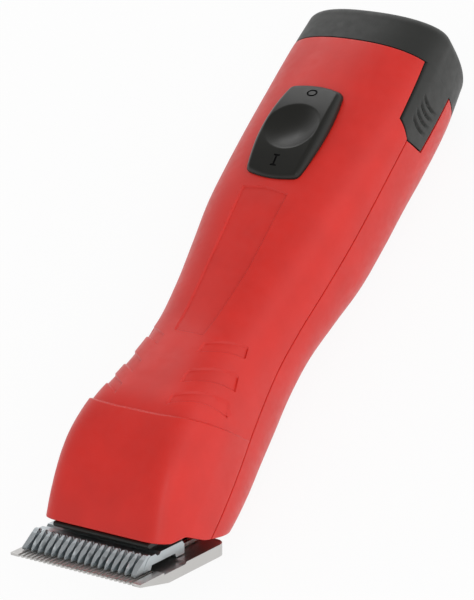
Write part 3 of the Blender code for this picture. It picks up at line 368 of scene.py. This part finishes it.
# A plug's rings: how far outside the corners, corner radius, and height over the skin or else z.
# Then the length of a step along a plug's side, the steps in a corner, half the width over which
# the skin's steepness is measured, and its limit.
PLUG_RINGS = ((-0.62, 0.2, None, 30.0), (-0.62, 0.2, -0.7, None), (0.3, 0.6, 0.3, None),
              (0.3, 0.6, None, 60.0))
PLUG_RUN, CORNER_STEPS, PROBE, STEEPEST = 1.2, 4, 0.2, 3.0

# Screw holes in the belly, as x and y.
HOUSING_SCREWS = ((13.0, -44.0), (-13.0, -44.0), (15.5, 33.0), (-15.5, 33.0))
SCREW_HOLE_RADIUS, SCREW_HOLE_Z = 3.3, (-5.0, 9.0)

# The space that holds the housing's ribs and posts, which reach into the shells' walls.
INTERIOR_Y, INTERIOR_DEPTH = (-92.0, 89.5), 1.6

# The battery pack: the block behind the handle, and the one that slides into it.
BATTERY_GAP, BATTERY_END_Y, END_RADIUS = 0.3, 104.03, 4.0
INSERT_HALF, INSERT_Z, INSERT_FRONT, INSERT_OVERLAP = 17.0, (6.0, 32.5), 52.0, 1.0
INSERT_CORNER, INSERT_EDGE = 3.0, (0.6, 40.0, 3)

# The latch arms, as y and z seen from the side, their pockets in the housing and their ridges.
ARM_ROOT_Y, ARM_TIP, ARM_REAR = 89.3, 65.7, 89.88
ARM_OUTLINE = ((ARM_ROOT_Y, 20.0), (68.2, 20.5), (ARM_TIP, 29.7), (68.7, 36.1), (ARM_ROOT_Y, 37.3))
ARM_TIP_HALF, ARM_EDGE, ARM_TIP_EASE = 0.5, 0.55, 0.8
POCKET_LOW_GAP, POCKET_TIP_GAP, POCKET_TOP_GAP = 0.4, 0.55, 0.75
POCKET_OVERRUN, POCKET_REACH = 3.0, 40.0
GRIP_GROOVES, GROOVE_DEPTH = (73.1, 75.8, 78.5, 81.2), 0.75
GROOVE_FRONT_RUN, GROOVE_BACK_RUN = 1.3, 0.4
GROOVE_Z, GROOVE_BOW, GROOVE_FADE = (22.8, 33.6), 1.1, 2.2

# Rows of points along a latch arm, and shares of its height.
ARM_ROWS = np.concatenate((np.linspace(ARM_TIP, ARM_TIP + 1.2, 9), np.linspace(67.1, 84.0, 120),
                           np.linspace(84.4, ARM_REAR, 12)))
ARM_COLUMNS = np.concatenate(((0.0, 0.008, 0.018, 0.035, 0.06), np.linspace(0.09, 0.91, 46),
                              (0.94, 0.965, 0.982, 0.992, 1.0)))

# The thumb slider.  Its flank's rings are given as share of the height and rounding; its top's as
# shares of the way from its rim to the dish, and then of the dish's radius.
SLIDER_Y, SLIDER_END_BOW, SLIDER_STEPS = (34.2, 67.2), 1.5, 14
SLIDER_END_HALF, SLIDER_MID_HALF, SLIDER_CORNER = 9.5, 11.5, 1.6
SLIDER_BASE_Z, SLIDER_CREST_Z, SLIDER_CREST_Y = 45.2, 49.9, 51.0
SLIDER_BOW, SLIDER_LIFT, SLIDER_LEAN = 145.0, 0.5, 0.38
SLIDER_INSET, SLIDER_RIM_INSET, SLIDER_ROUNDING = 0.15, 0.55, 0.8
SLIDER_FLANK = ((0.22, 0.0), (0.32, 0.0), (0.42, 0.0), (0.52, 0.0), (0.62, 0.0), (0.71, 0.0),
                (0.79, 0.0), (0.86, 0.01), (0.91, 0.05), (0.95, 0.12), (0.98, 0.22), (0.995, 0.35))
SLIDER_CROWN = (0.0, 0.1, 0.25, 0.45, 0.7, 0.88, 1.0)
DISH_SHARES = (0.985, 0.97, 0.95, 0.92, 0.88, 0.82, 0.74, 0.64, 0.52, 0.4, 0.27, 0.14)
DISH_R, DISH_DEPTH, DISH_Y = 9.3, 2.4, 51.0
DISH_RIM, DISH_MARGIN, RIM_SOFTNESS = 0.2, 0.12, 0.05
FOOT_HALF, FOOT_Y, FOOT_Z = 2.6, (49.0, 55.0), (42.8, 47.3)

# The slider's marks: centre, half sizes and stroke of the O; centre, half width of the bar and of
# the serifs, half height, thickness and slope of the serifs of the I; and their depths.
OFF_MARK = (0.0, 64.6, 1.85, 1.5, 0.62)
ON_MARK_Y = 38.4
LETTER_BAR, LETTER_SERIF, LETTER_HALF, LETTER_THICK, LETTER_SLOPE = 0.34, 1.1, 1.95, 0.42, 0.25
OFF_DEPTH, ON_DEPTH, MARK_RISE = 0.2, 0.22, 1.0

# Edges that modifiers round on CAD nodes: the nodes, the radius, the least angle and the segments.
WELD_GAP = 0.002
SOFT_EDGES = (
    (("head_insert",), 0.25, 40.0, 2),
    (("comb_blade", "cutter_blade"), 0.06, 25.0, 1),
    (("blade_socket", "hinge_bracket", "tension_spring_left", "tension_spring_right"), 0.1, 40.0, 2),
)


# ---------------------------------------------------------------- handle form

def form(y):
    """The station values at each y, joined by a smooth cubic through the stations."""
    ys = STATIONS[:, 0]
    slopes = np.gradient(STATIONS[:, 1:], ys, axis=0)
    k = np.clip(np.searchsorted(ys, y) - 1, 0, len(ys) - 2)
    span = (ys[k + 1] - ys[k])[:, None]
    t = (y - ys[k])[:, None] / span
    near, far = STATIONS[k, 1:], STATIONS[k + 1, 1:]
    return ((1 + 2 * t) * (1 - t) ** 2 * near + t * (1 - t) ** 2 * span * slopes[k]
            + t * t * (3 - 2 * t) * far + t * t * (t - 1) * span * slopes[k + 1])


def parting(y):
    """Height of the parting line between the housing's halves."""
    return PARTING_Z + PARTING_SLOPE * y


class Surface:
    """The upper or the lower half of the handle's skin, on +X only.

    x, z and level are tables over y and over the share of the way from the parting line to the
    middle; level is the share of the height.
    """

    def __init__(self, upper, columns):
        self.ys = np.arange(*SKIN_Y, SKIN_STEP)
        self.x = np.zeros((len(self.ys), len(columns)))
        self.z = np.zeros_like(self.x)
        self.level = np.zeros_like(self.x)
        for i, row in enumerate(form(self.ys)):
            half, top, belly, square_top, square_low, lean = row
            power = square_top if upper else square_low
            if not upper:
                top, lean = belly, 0.0
            edge = parting(self.ys[i])
            climb = np.linspace(0.0, SKIN_KNEE, SKIN_SAMPLES)
            reach = (1 - climb ** power) ** (1 / power)
            across = np.linspace(reach[-1], 0.0, SKIN_SAMPLES)[1:]
            level = np.concatenate((climb, (1 - across ** power) ** (1 / power)))
            reach = np.concatenate((reach, across))
            x = half * reach * (1 - lean * level)
            z = np.maximum(edge + (top - edge) * level, 0.0)
            way = np.concatenate(((0.0,), np.cumsum(np.hypot(np.diff(x), np.diff(z)))))
            at = columns * way[-1]
            self.x[i] = np.interp(at, way, x)
            self.z[i] = np.interp(at, way, z)
            self.level[i] = np.interp(at, way, level)

    def read(self, table, y):
        """Values of a table at y, where y has one column per column of the surface."""
        return np.stack([np.interp(y[:, j], self.ys, table[:, j]) for j in range(y.shape[1])], axis=1)

    def points(self, y):
        """Points of the skin at y, one column of y per column of the surface."""
        return np.stack((self.read(self.x, y), y, self.read(self.z, y)), axis=2)

    def swept(self, rows):
        """Rows that cross the top at the given y and bend back down the sides near the head's step."""
        y = np.repeat(rows[:, None], self.x.shape[1], axis=1)
        level = self.read(self.level, y)
        near = np.maximum(0.0, 1 - np.abs(y - HEAD_STEP_Y) / STEP_REACH)
        return y + STEP_SWEEP * (1 - level) ** STEP_SWEEP_POWER * near * near * (3 - 2 * near)


def normals(grid, sign):
    """Unit normals of a grid of points, outward when sign suits the grid's direction."""
    along = np.gradient(grid, axis=0)
    across = np.gradient(grid, axis=1)
    flat = np.cross(along, across) * sign
    return flat / np.maximum(np.linalg.norm(flat, axis=2, keepdims=True), 1e-9)


def fillet(distance, radius):
    """How far in a rounded edge stands from the plain surface, at this distance from the edge."""
    short = np.clip(radius - distance, 0.0, radius)
    return radius - np.sqrt(radius ** 2 - short ** 2)


def smooth(t):
    """A soft step from 0 to 1 as t goes from 0 to 1."""
    t = np.clip(t, 0.0, 1.0)
    return t * t * (3 - 2 * t)


def front_line(surface):
    """For each column, where the skin meets the head's slanted and notched front edge."""
    down = (math.cos(HEAD_SLANT), -math.sin(HEAD_SLANT))
    into = (math.sin(HEAD_SLANT), math.cos(HEAD_SLANT))
    middle = (NOTCH_START + NOTCH_END) / 2 + NOTCH_SHIFT
    starts = []
    for j in range(surface.x.shape[1]):
        dy, dz = surface.ys - HEAD_EDGE_Y, surface.z[:, j] - HEAD_EDGE_Z
        along, depth = dy * down[0] + dz * down[1], dy * into[0] + dz * into[1]
        notch = np.interp(along, (NOTCH_START, middle, NOTCH_END), (0.0, NOTCH_DEPTH, 0.0), 0.0, 0.0)
        clear = depth - notch
        k = int(np.max(np.nonzero((clear < 0) & (surface.ys < HEAD_REAR_Y))[0]))
        t = -clear[k] / (clear[k + 1] - clear[k])
        starts.append(surface.ys[k] + t * (surface.ys[k + 1] - surface.ys[k]))
    return np.array(starts)


def mirrored(right):
    """A right half grid and its mirror image, as one grid from the +X edge to the -X one."""
    left = right[:, -2::-1].copy()
    left[..., 0] *= -1
    return np.concatenate((right, left), axis=1)


def shell_grid(surface, rows, warp_end):
    """Points of one housing half's skin, from seam to seam, and their share of its height."""
    y = surface.swept(rows)
    starts = front_line(surface)
    share = np.clip((rows - rows[0]) / (warp_end - rows[0]), 0.0, 1.0)[:, None]
    end = surface.swept(np.array([warp_end]))
    warped = starts[None, :] + (end - starts[None, :]) * share
    y = np.where(rows[:, None] < warp_end, warped, y)
    base = mirrored(surface.points(y))
    level = surface.read(surface.level, y)
    return base, np.concatenate((level, level[:, -2::-1]), axis=1)


def to_object(name, verts, faces, mat=None, body=None, crease=CREASE):
    """A smooth-shaded object from points in millimetres; a tool that cuts others rides no body."""
    bm = bmesh.new()
    made = [bm.verts.new(Vector(v) * MM) for v in verts]
    for face in faces:
        bm.faces.new([made[i] for i in face])
    bmesh.ops.remove_doubles(bm, verts=bm.verts, dist=MERGE_GAP)
    bmesh.ops.recalc_face_normals(bm, faces=bm.faces)
    mesh = bpy.data.meshes.new(name)
    bm.to_mesh(mesh)
    bm.free()
    mesh.shade_smooth()
    mesh.set_sharp_from_angle(angle=math.radians(crease))
    obj = bpy.data.objects.new(name, mesh)
    bpy.context.scene.collection.objects.link(obj)
    if mat is not None:
        mesh.materials.append(mat)
    if body is not None:
        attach(obj, body)
    return obj


def grid_faces(rows, columns, start=0, flip=False):
    """Quads over a grid of points that are numbered row by row from start."""
    faces = []
    for r in range(rows - 1):
        for c in range(columns - 1):
            a = start + r * columns + c
            face = (a, a + 1, a + columns + 1, a + columns)
            faces.append(face[::-1] if flip else face)
    return faces


def slab(outer, inner):
    """Points and faces of a closed wall between two equal grids."""
    rows, columns = outer.shape[:2]
    verts = np.concatenate((outer.reshape(-1, 3), inner.reshape(-1, 3)))
    shift = rows * columns
    faces = grid_faces(rows, columns) + grid_faces(rows, columns, shift, True)
    for c in range(columns - 1):
        last = (rows - 1) * columns
        faces.append((c, c + shift, c + 1 + shift, c + 1))
        faces.append((last + c, last + c + 1, last + c + 1 + shift, last + c + shift))
    for r in range(rows - 1):
        near, far = r * columns, (r + 1) * columns
        faces.append((near, far, far + shift, near + shift))
        near, far = near + columns - 1, far + columns - 1
        faces.append((near, near + shift, far + shift, far))
    return verts, faces


def carve(obj, tool, operation="DIFFERENCE", crease=CREASE):
    """Apply a boolean for good and drop the tool, whose material stays on what it cut."""
    step = obj.modifiers.new("carve", "BOOLEAN")
    step.operation = operation
    step.solver = "EXACT"
    step.object = tool
    if tool.data.materials:
        step.material_mode = "TRANSFER"
    depsgraph = bpy.context.evaluated_depsgraph_get()
    mesh = bpy.data.meshes.new_from_object(obj.evaluated_get(depsgraph))
    obj.modifiers.clear()
    obj.data = mesh
    mesh.shade_smooth()
    mesh.set_sharp_from_angle(angle=math.radians(crease))
    bpy.data.objects.remove(tool, do_unlink=True)


def ring_walls(count, rings, closed=False):
    """Quads between equal closed loops, and from the last loop back to the first if closed."""
    faces = []
    for k in range(rings if closed else rings - 1):
        a, b = k * count, (k + 1) % rings * count
        for i in range(count):
            j = (i + 1) % count
            faces.append((a + i, a + j, b + j, b + i))
    return faces


def ring_solid(rings):
    """Points and faces of a solid skinned over equal closed loops."""
    count = len(rings[0])
    verts = [point for ring in rings for point in ring]
    caps = [tuple(range(count)), tuple(range(len(verts) - 1, len(verts) - count - 1, -1))]
    return verts, caps + ring_walls(count, len(rings))


def plan_height(x, y):
    """Height of the upper skin over a point seen from above."""
    half, top, _, power, _, lean = form(np.array([y]))[0]
    edge = parting(y)
    level = 1.0
    for _ in range(6):          # the sides lean in with the level, so it is closed in on
        level = (1 - min(0.999, abs(x) / (half * (1 - lean * level))) ** power) ** (1 / power)
    return edge + (top - edge) * level


def steepness(x, y):
    """How much a depth across the upper skin grows when it is measured straight down."""
    rise = plan_height(x + PROBE, y) - plan_height(x - PROBE, y)
    return min(STEEPEST, math.hypot(1.0, rise / (2 * PROBE)))


def around(corners, i):
    """A polygon's corner with the one before it and the one after it."""
    return (Vector(corners[(i + k) % len(corners)]) for k in (-1, 0, 1))


def grown(corners, by):
    """The same polygon with every side moved outward."""
    moved = []
    for i in range(len(corners)):
        before, corner, after = around(corners, i)
        first, second = (corner - before).normalized(), (after - corner).normalized()
        out = Vector((first.y, -first.x))
        middle = (out + Vector((second.y, -second.x))).normalized()
        moved.append(corner + middle * by / middle.dot(out))
    return moved


def rounded_outline(corners, radius, runs):
    """Corners turned into arcs, joined by straight runs of the given numbers of steps."""
    outline = []
    for i in range(len(corners)):
        before, corner, after = around(corners, i)
        near = corner + (before - corner).normalized() * radius
        far = corner + (after - corner).normalized() * radius
        for k in range(CORNER_STEPS + 1):
            t = k / CORNER_STEPS
            outline.append((1 - t) ** 2 * near + 2 * t * (1 - t) * corner + t * t * far)
        following = after + (corner - after).normalized() * radius
        outline += [far.lerp(following, k / runs[i]) for k in range(1, runs[i])]
    return outline


def recess_tool(corners, name):
    """A tapered plug whose sides lean over the skin's own height, for one recess."""
    lengths = [(Vector(corners[(i + 1) % len(corners)]) - Vector(corners[i])).length
               for i in range(len(corners))]
    runs = [max(2, int(length / PLUG_RUN)) for length in lengths]
    rings = []
    for lateral, radius, height, level in PLUG_RINGS:
        ring = []
        for at in rounded_outline(grown(corners, lateral), radius, runs):
            z = level if height is None else plan_height(at.x, at.y) + height * steepness(at.x, at.y)
            ring.append((at.x, at.y, z))
        rings.append(ring)
    return to_object(name, *ring_solid(rings))


def edge_inset(base):
    """How far in the rounded edges of a shell's grid stand, all round it."""
    to_front = np.linalg.norm(base - base[:1], axis=2)
    to_rear = np.linalg.norm(base - base[-1:], axis=2)
    to_seam = np.minimum(np.linalg.norm(base - base[:, :1], axis=2),
                         np.linalg.norm(base - base[:, -1:], axis=2))
    inset = np.maximum(fillet(to_front, FRONT_EDGE), fillet(to_rear, SEAM_EDGE))
    return np.maximum(inset, fillet(to_seam, SEAM_EDGE))


def make_upper_shell(mats):
    """The housing's upper half, with the head's step, the recesses and the latch arms' pockets."""
    surface = Surface(True, SHELL_COLUMNS)
    surface.z += SEAM * (1 - surface.level)
    base, level = shell_grid(surface, UPPER_ROWS, UPPER_WARP_END)
    outward = normals(base, 1.0)
    proud = HEAD_STEP * np.minimum(1.0, level / STEP_FADE_LEVEL) ** STEP_FADE_POWER
    proud = proud * smooth((HEAD_STEP_Y - UPPER_ROWS[:, None]) / STEP_WIDTH + 0.5)
    outer = base + outward * (proud - edge_inset(base))[..., None]
    inner = base - outward * WALL
    shell = to_object("upper_shell", *slab(outer, inner), mats["red_shell"], "housing")

    near, far = np.searchsorted(UPPER_ROWS, RECESS_SPAN)
    patch, up = base[near:far], outward[near:far]
    cover = to_object("recess_cover", *slab(patch + up * RECESS_COVER, patch - up * RECESS_DEPTH))
    outlines = []
    for corners in GRIP_RECESSES:
        outlines += [corners, tuple((-x, y) for x, y in reversed(corners))]
    outlines.append(TOP_PANEL)
    for number, corners in enumerate(outlines):
        plug = recess_tool(corners, "recess_plug_%d" % number)
        part = cover.copy()
        part.data = cover.data.copy()
        bpy.context.scene.collection.objects.link(part)
        carve(part, plug, "INTERSECT")
        carve(shell, part)
    bpy.data.objects.remove(cover, do_unlink=True)
    carve(shell, arm_pocket())
    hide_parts("upper_housing")


def make_lower_shell(mats):
    """The housing's lower half, with the latch arms' pockets and four screw holes."""
    surface = Surface(False, SHELL_COLUMNS)
    surface.z -= SEAM * (1 - surface.level)
    base, _ = shell_grid(surface, LOWER_ROWS, LOWER_WARP_END)
    outward = normals(base, -1.0)
    walls = slab(base - outward * edge_inset(base)[..., None], base - outward * WALL)
    shell = to_object("lower_shell", *walls, mats["red_shell"], "housing")
    carve(shell, arm_pocket())
    turns = np.linspace(0, 2 * math.pi, 48, endpoint=False)
    for number, (x, y) in enumerate(HOUSING_SCREWS):
        rings = [[(x + SCREW_HOLE_RADIUS * math.cos(t), y + SCREW_HOLE_RADIUS * math.sin(t), z)
                  for t in turns] for z in SCREW_HOLE_Z]
        carve(shell, to_object("screw_hole_%d" % number, *ring_solid(rings)))
    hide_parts("lower_housing")


def make_seam_lip(mats):
    """The red tongue along the inside of the parting line, seen at the bottom of the seam."""
    rows = np.linspace(*LIP_Y, 100)
    y = np.repeat(rows[:, None], 2, axis=1)
    z = parting(y) + np.array((-LIP_HALF, LIP_HALF))[None, :]
    x = side_x(y, z)
    for name, side in (("seam_lip_right", 1), ("seam_lip_left", -1)):
        outer, inner = (np.stack((side * (x - depth), y, z), axis=2) for depth in LIP_DEPTHS)
        to_object(name, *slab(outer, inner), mats["red_shell"], "housing")


def arm_pocket():
    """A tool that cuts both latch arms' pockets, a little larger than the arms."""
    low_root, low_tip, tip, top_tip, top_root = ARM_OUTLINE
    outline = ((low_root[0] + POCKET_OVERRUN, low_root[1] - POCKET_LOW_GAP),
               (low_tip[0] - POCKET_LOW_GAP, low_tip[1] - POCKET_LOW_GAP),
               (tip[0] - POCKET_TIP_GAP, tip[1]),
               (top_tip[0] - POCKET_TIP_GAP, top_tip[1] + POCKET_TOP_GAP),
               (top_root[0] + POCKET_OVERRUN, top_root[1] + POCKET_TOP_GAP))
    rings = [[(x, y, z) for y, z in outline] for x in (-POCKET_REACH, POCKET_REACH)]
    return to_object("arm_pocket", *ring_solid(rings))


def make_interior(name, node, upper, body, mat):
    """The ribs, posts and stands inside one CAD housing half, rooted in the fine shell's wall."""
    columns = np.linspace(0.0, 1.0, 25)
    surface = Surface(upper, columns)
    rows = np.linspace(*INTERIOR_Y, 60)
    base = mirrored(surface.points(np.repeat(rows[:, None], len(columns), axis=1)))
    outward = normals(base, 1.0 if upper else -1.0)
    rim = base - outward * INTERIOR_DEPTH
    clip = np.maximum if upper else np.minimum
    rim[..., 2] = clip(rim[..., 2], parting(rows)[:, None])
    core = to_object(name + "_core", *ring_solid([[tuple(p) for p in row] for row in rim]))
    inside = to_object(name, [], [])
    inside.data = frame["nodes"][node].data.copy()
    inside.matrix_world = frame["nodes"][node].matrix_world
    carve(inside, core, "INTERSECT", INTERIOR_CREASE)
    inside.data.materials.clear()
    inside.data.materials.append(mat)
    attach(inside, body)


def round_edges(obj, width, angle, segments):
    """Add a bevel to the edges that turn by more than the angle."""
    bevel = obj.modifiers.new("edge_round", "BEVEL")
    bevel.width = width * MM
    bevel.segments = segments
    bevel.limit_method = "ANGLE"
    bevel.angle_limit = math.radians(angle)


def soften(name, width, angle, segments):
    """Round a CAD node's edges a little with modifiers; its own mesh stays as it is."""
    obj = frame["nodes"][name]
    weld = obj.modifiers.new("weld", "WELD")
    weld.merge_threshold = WELD_GAP * MM
    round_edges(obj, width, angle, segments)


def make_battery(mats):
    """The battery pack's case: its rounded block behind the handle, and the block that slides in."""
    columns = np.concatenate((np.linspace(0.0, 0.9, 40), np.linspace(0.92, 1.0, 8)))
    upper, lower = Surface(True, columns), Surface(False, columns)
    front, round_start = SPLIT_Y + BATTERY_GAP, BATTERY_END_Y - END_RADIUS
    places = [(y, 0.0) for y in np.linspace(front, round_start, 12)]
    for turn in map(math.radians, range(8, 91, 6)):
        places.append((BATTERY_END_Y - END_RADIUS * (1 - math.sin(turn)),
                       END_RADIUS * (1 - math.cos(turn))))
    loops = []
    for place, inset in places:
        y = np.full((1, len(columns)), min(place, round_start))
        top, low = mirrored(upper.points(y))[0], mirrored(lower.points(y))[0]
        loop = np.concatenate((top, low[-2:0:-1]))
        way = np.roll(loop, -1, axis=0) - np.roll(loop, 1, axis=0)
        side = np.stack((way[:, 2], np.zeros(len(way)), -way[:, 0]), axis=1)
        side /= np.maximum(np.linalg.norm(side, axis=1, keepdims=True), 1e-9)
        loop = loop - side * inset
        loop[:, 1] = place
        loops.append([tuple(p) for p in loop])
    case = to_object("battery_shell", *ring_solid(loops), mats["charcoal_battery"], "battery")
    low, high = INSERT_Z
    half, edge = INSERT_HALF, INSERT_CORNER
    outline = ((-half, low + edge), (-half + edge, low), (half - edge, low), (half, low + edge),
               (half, high - edge), (half - edge, high), (-half + edge, high), (-half, high - edge))
    rings = [[(x, y, z) for x, z in outline] for y in (INSERT_FRONT, front + INSERT_OVERLAP)]
    block = to_object("block", *ring_solid(rings))
    round_edges(block, *INSERT_EDGE)
    carve(case, block, "UNION")
    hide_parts("battery_case")


def side_x(y, z):
    """Half width of the handle at height z, for arrays of y and z."""
    half, top, belly, square_top, square_low, lean = form(np.ravel(y)).T
    edge = parting(np.ravel(y))
    z = np.ravel(z)
    high = np.clip((z - edge) / (top - edge), 0.0, 1.0)
    low = np.clip((edge - z) / (edge - belly), 0.0, 1.0)
    above = half * (1 - lean * high) * (1 - high ** square_top) ** (1 / square_top)
    below = half * (1 - low ** square_low) ** (1 / square_low)
    return np.where(z >= edge, above, below).reshape(np.shape(y))


def arm_span(y):
    """Lowest and highest z of the latch arm at y."""
    low_root, low_tip, tip, top_tip, top_root = ARM_OUTLINE
    low = np.interp(y, (tip[0], low_tip[0], low_root[0]),
                    (tip[1] - ARM_TIP_HALF, low_tip[1], low_root[1]))
    high = np.interp(y, (tip[0], top_tip[0], top_root[0]),
                     (tip[1] + ARM_TIP_HALF, top_tip[1], top_root[1]))
    return low, high


def make_latch_arm(side, mats):
    """A side strip flush with the battery, rounded at its edges, with four bowed finger ridges."""
    low, high = arm_span(ARM_ROWS)
    y = np.repeat(ARM_ROWS[:, None], len(ARM_COLUMNS), axis=1)
    z = low[:, None] + (high - low)[:, None] * ARM_COLUMNS
    to_edge = np.minimum(z - low[:, None], high[:, None] - z)
    inset = fillet(np.minimum(to_edge, (y - ARM_TIP) * ARM_TIP_EASE), ARM_EDGE)
    away = (2 * z - sum(GROOVE_Z)) / (GROOVE_Z[1] - GROOVE_Z[0])
    fade = smooth(GROOVE_FADE * (1 - np.abs(away)))
    for start in GRIP_GROOVES:
        past = y - (start - GROOVE_BOW * (1 - away ** 2))
        cut = np.where(past < 0, 1 + past / GROOVE_FRONT_RUN, 1 - past / GROOVE_BACK_RUN)
        inset = inset + GROOVE_DEPTH * fade * np.clip(cut, 0.0, 1.0)
    x = side_x(y, z)
    outer = np.stack((side * (x - inset), y, z), axis=2)
    inner = np.stack((side * (x - WALL), np.minimum(y, ARM_ROOT_Y), z), axis=2)
    arm = to_object("latch_strip_" + ("right" if side > 0 else "left"), *slab(outer, inner),
                    mats["charcoal_battery"], "latch_right" if side > 0 else "latch_left",
                    ARM_CREASE)
    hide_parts("latch_arm_right" if side > 0 else "latch_arm_left")


# ---------------------------------------------------------------- thumb slider

def slider_outline():
    """The slider's base seen from above, as a closed loop, with the outward way at each point."""
    y_low, y_high = SLIDER_Y
    middle, reach = (y_low + y_high) / 2, (y_high - y_low) / 2
    side_end, end_side = 1 - SLIDER_CORNER / reach, 1 - SLIDER_CORNER / SLIDER_END_HALF

    def side(t):
        return Vector((SLIDER_MID_HALF - (SLIDER_MID_HALF - SLIDER_END_HALF) * t * t, reach * t))

    def end(s):
        return Vector((SLIDER_END_HALF * s, reach + SLIDER_END_BOW * (1 - s * s)))

    quarter = [side(t) for t in np.linspace(0.0, side_end, 2 * SLIDER_STEPS)]
    for t in np.linspace(0, 1, 9)[1:-1]:
        quarter.append((1 - t) ** 2 * side(side_end) + 2 * t * (1 - t) * side(1.0)
                       + t * t * end(end_side))
    quarter += [end(s) for s in np.linspace(end_side, 0.0, SLIDER_STEPS)]
    rear = [(x, y) for x, y in quarter] + [(-x, y) for x, y in reversed(quarter[:-1])]
    loop = rear + [(x, -y) for x, y in reversed(rear[1:-1])]
    points = np.array(loop) + (0.0, middle)
    way = np.roll(points, -1, axis=0) - np.roll(points, 1, axis=0)
    way /= np.linalg.norm(way, axis=1, keepdims=True)
    return points, np.stack((way[:, 1], -way[:, 0]), axis=1)


def slider_top(y):
    """Height of the slider's bowed top, without its dish."""
    return SLIDER_CREST_Z - (y - SLIDER_CREST_Y) ** 2 / SLIDER_BOW


def slider_surface(points):
    """Height of the slider's top at (x, y) points, with the thumb dish and its softened rim."""
    top = slider_top(points[:, 1])
    ball = (DISH_R ** 2 + DISH_DEPTH ** 2) / (2 * DISH_DEPTH)
    far = np.hypot(points[:, 0], points[:, 1] - DISH_Y)
    bowl = SLIDER_CREST_Z + ball - DISH_DEPTH - np.sqrt(np.maximum(ball ** 2 - far ** 2, 0.0))
    gap = (top - bowl) / RIM_SOFTNESS
    return top - RIM_SOFTNESS * np.where(gap > 20, gap, np.log1p(np.exp(np.minimum(gap, 20))))


def make_slider(mats):
    """The thumb slider: a closed cap with a dish and two engraved marks, and the foot below it."""
    outline, way = slider_outline()
    height = slider_top(outline[:, 1]) - SLIDER_BASE_Z
    rings = []
    for level, rounding in SLIDER_FLANK:
        inset = SLIDER_LEAN * level ** 4 * height + SLIDER_INSET + rounding * SLIDER_ROUNDING
        at = outline - way * inset[:, None]
        z = SLIDER_BASE_Z + level * (slider_top(at[:, 1]) - SLIDER_BASE_Z)
        rings.append(np.concatenate((at, z[:, None]), axis=1))
    rings[0][:, 2] = [plan_height(x, y) + SLIDER_LIFT for x, y in rings[0][:, :2]]
    edge = outline - way * (SLIDER_LEAN * height + SLIDER_RIM_INSET)[:, None]
    centre = np.array((0.0, DISH_Y))
    away = edge - centre
    reach = np.linalg.norm(away, axis=1)[:, None]
    rim = np.minimum(DISH_R + DISH_RIM, reach - DISH_MARGIN)
    distances = [reach - (reach - rim) * t for t in SLIDER_CROWN] + [rim * t for t in DISH_SHARES]
    for distance in distances:
        at = centre + away / reach * distance
        rings.append(np.concatenate((at, slider_surface(at)[:, None]), axis=1))
    count = len(outline)
    verts = [tuple(p) for ring in rings for p in ring]
    verts.append((0.0, DISH_Y, SLIDER_CREST_Z - DISH_DEPTH))
    verts.append((0.0, DISH_Y, plan_height(0.0, DISH_Y) + SLIDER_LIFT))
    faces = ring_walls(count, len(rings))
    last = (len(rings) - 1) * count
    for i in range(count):
        j = (i + 1) % count
        faces.append((last + i, last + j, len(verts) - 2))
        faces.append((i, len(verts) - 1, j))
    slider = to_object("slider_cap", verts, faces, mats["slider_black"], "slider", SLIDER_CREASE)
    # The engravings leave their tools' near-black, dull finish on the faces they cut.
    carve(slider, off_mark(mats["dark_mark_faces"]), crease=SLIDER_CREASE)
    carve(slider, on_mark(mats["dark_mark_faces"]), crease=SLIDER_CREASE)
    stem = [[(x, y, z) for x, y in ((-FOOT_HALF, FOOT_Y[0]), (FOOT_HALF, FOOT_Y[0]),
                                    (FOOT_HALF, FOOT_Y[1]), (-FOOT_HALF, FOOT_Y[1]))] for z in FOOT_Z]
    to_object("slider_foot", *ring_solid(stem), mats["slider_black"], "slider")
    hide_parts("switch_slider")


def over_slider(outline, rise):
    """A loop of (x, y) points at a height over the slider's top."""
    return [(x, y, slider_top(y) + rise) for x, y in outline]


def off_mark(dark_faces):
    """A tool that engraves the O: a closed tube of rectangular section."""
    x, y, across, along, stroke = OFF_MARK
    turns = np.linspace(0, 2 * math.pi, 40, endpoint=False)
    outer, inner = ([(x + (across - by) * math.cos(t), y + (along - by) * math.sin(t)) for t in turns]
                    for by in (0.0, stroke))
    rings = [over_slider(outer, MARK_RISE), over_slider(outer, -OFF_DEPTH),
             over_slider(inner, -OFF_DEPTH), over_slider(inner, MARK_RISE)]
    verts = [point for ring in rings for point in ring]
    return to_object("off_mark", verts, ring_walls(len(turns), len(rings), closed=True), dark_faces)


def on_mark(dark_faces):
    """A tool that engraves a plain capital I with short serifs, read from the clipper's front."""
    bar, serif, half = LETTER_BAR, LETTER_SERIF, LETTER_HALF
    shoulder = half - LETTER_THICK
    right = ((serif, half), (serif, shoulder), (bar, shoulder - LETTER_SLOPE),
             (bar, -shoulder + LETTER_SLOPE), (serif, -shoulder), (serif, -half))
    outline = [(x, ON_MARK_Y + y) for x, y in right] + [(-x, ON_MARK_Y + y) for x, y in reversed(right)]
    rings = (over_slider(outline, -ON_DEPTH), over_slider(outline, MARK_RISE))
    return to_object("on_mark", *ring_solid(rings), dark_faces)


def build():
    """Dress the studio, the CAD nodes and the pieces that take some of their places."""
    make_studio()
    mats = make_materials()
    paint_nodes(mats)
    make_upper_shell(mats)
    make_interior("upper_inside", "upper_housing", True, "housing", mats["red_shell"])
    make_battery(mats)
    for side in (1, -1):
        make_latch_arm(side, mats)
    make_slider(mats)
    make_lower_shell(mats)
    make_interior("lower_inside", "lower_housing", False, "housing", mats["red_shell"])
    make_seam_lip(mats)
    for names, width, angle, segments in SOFT_EDGES:
        for name in names:
            soften(name, width, angle, segments)


build()
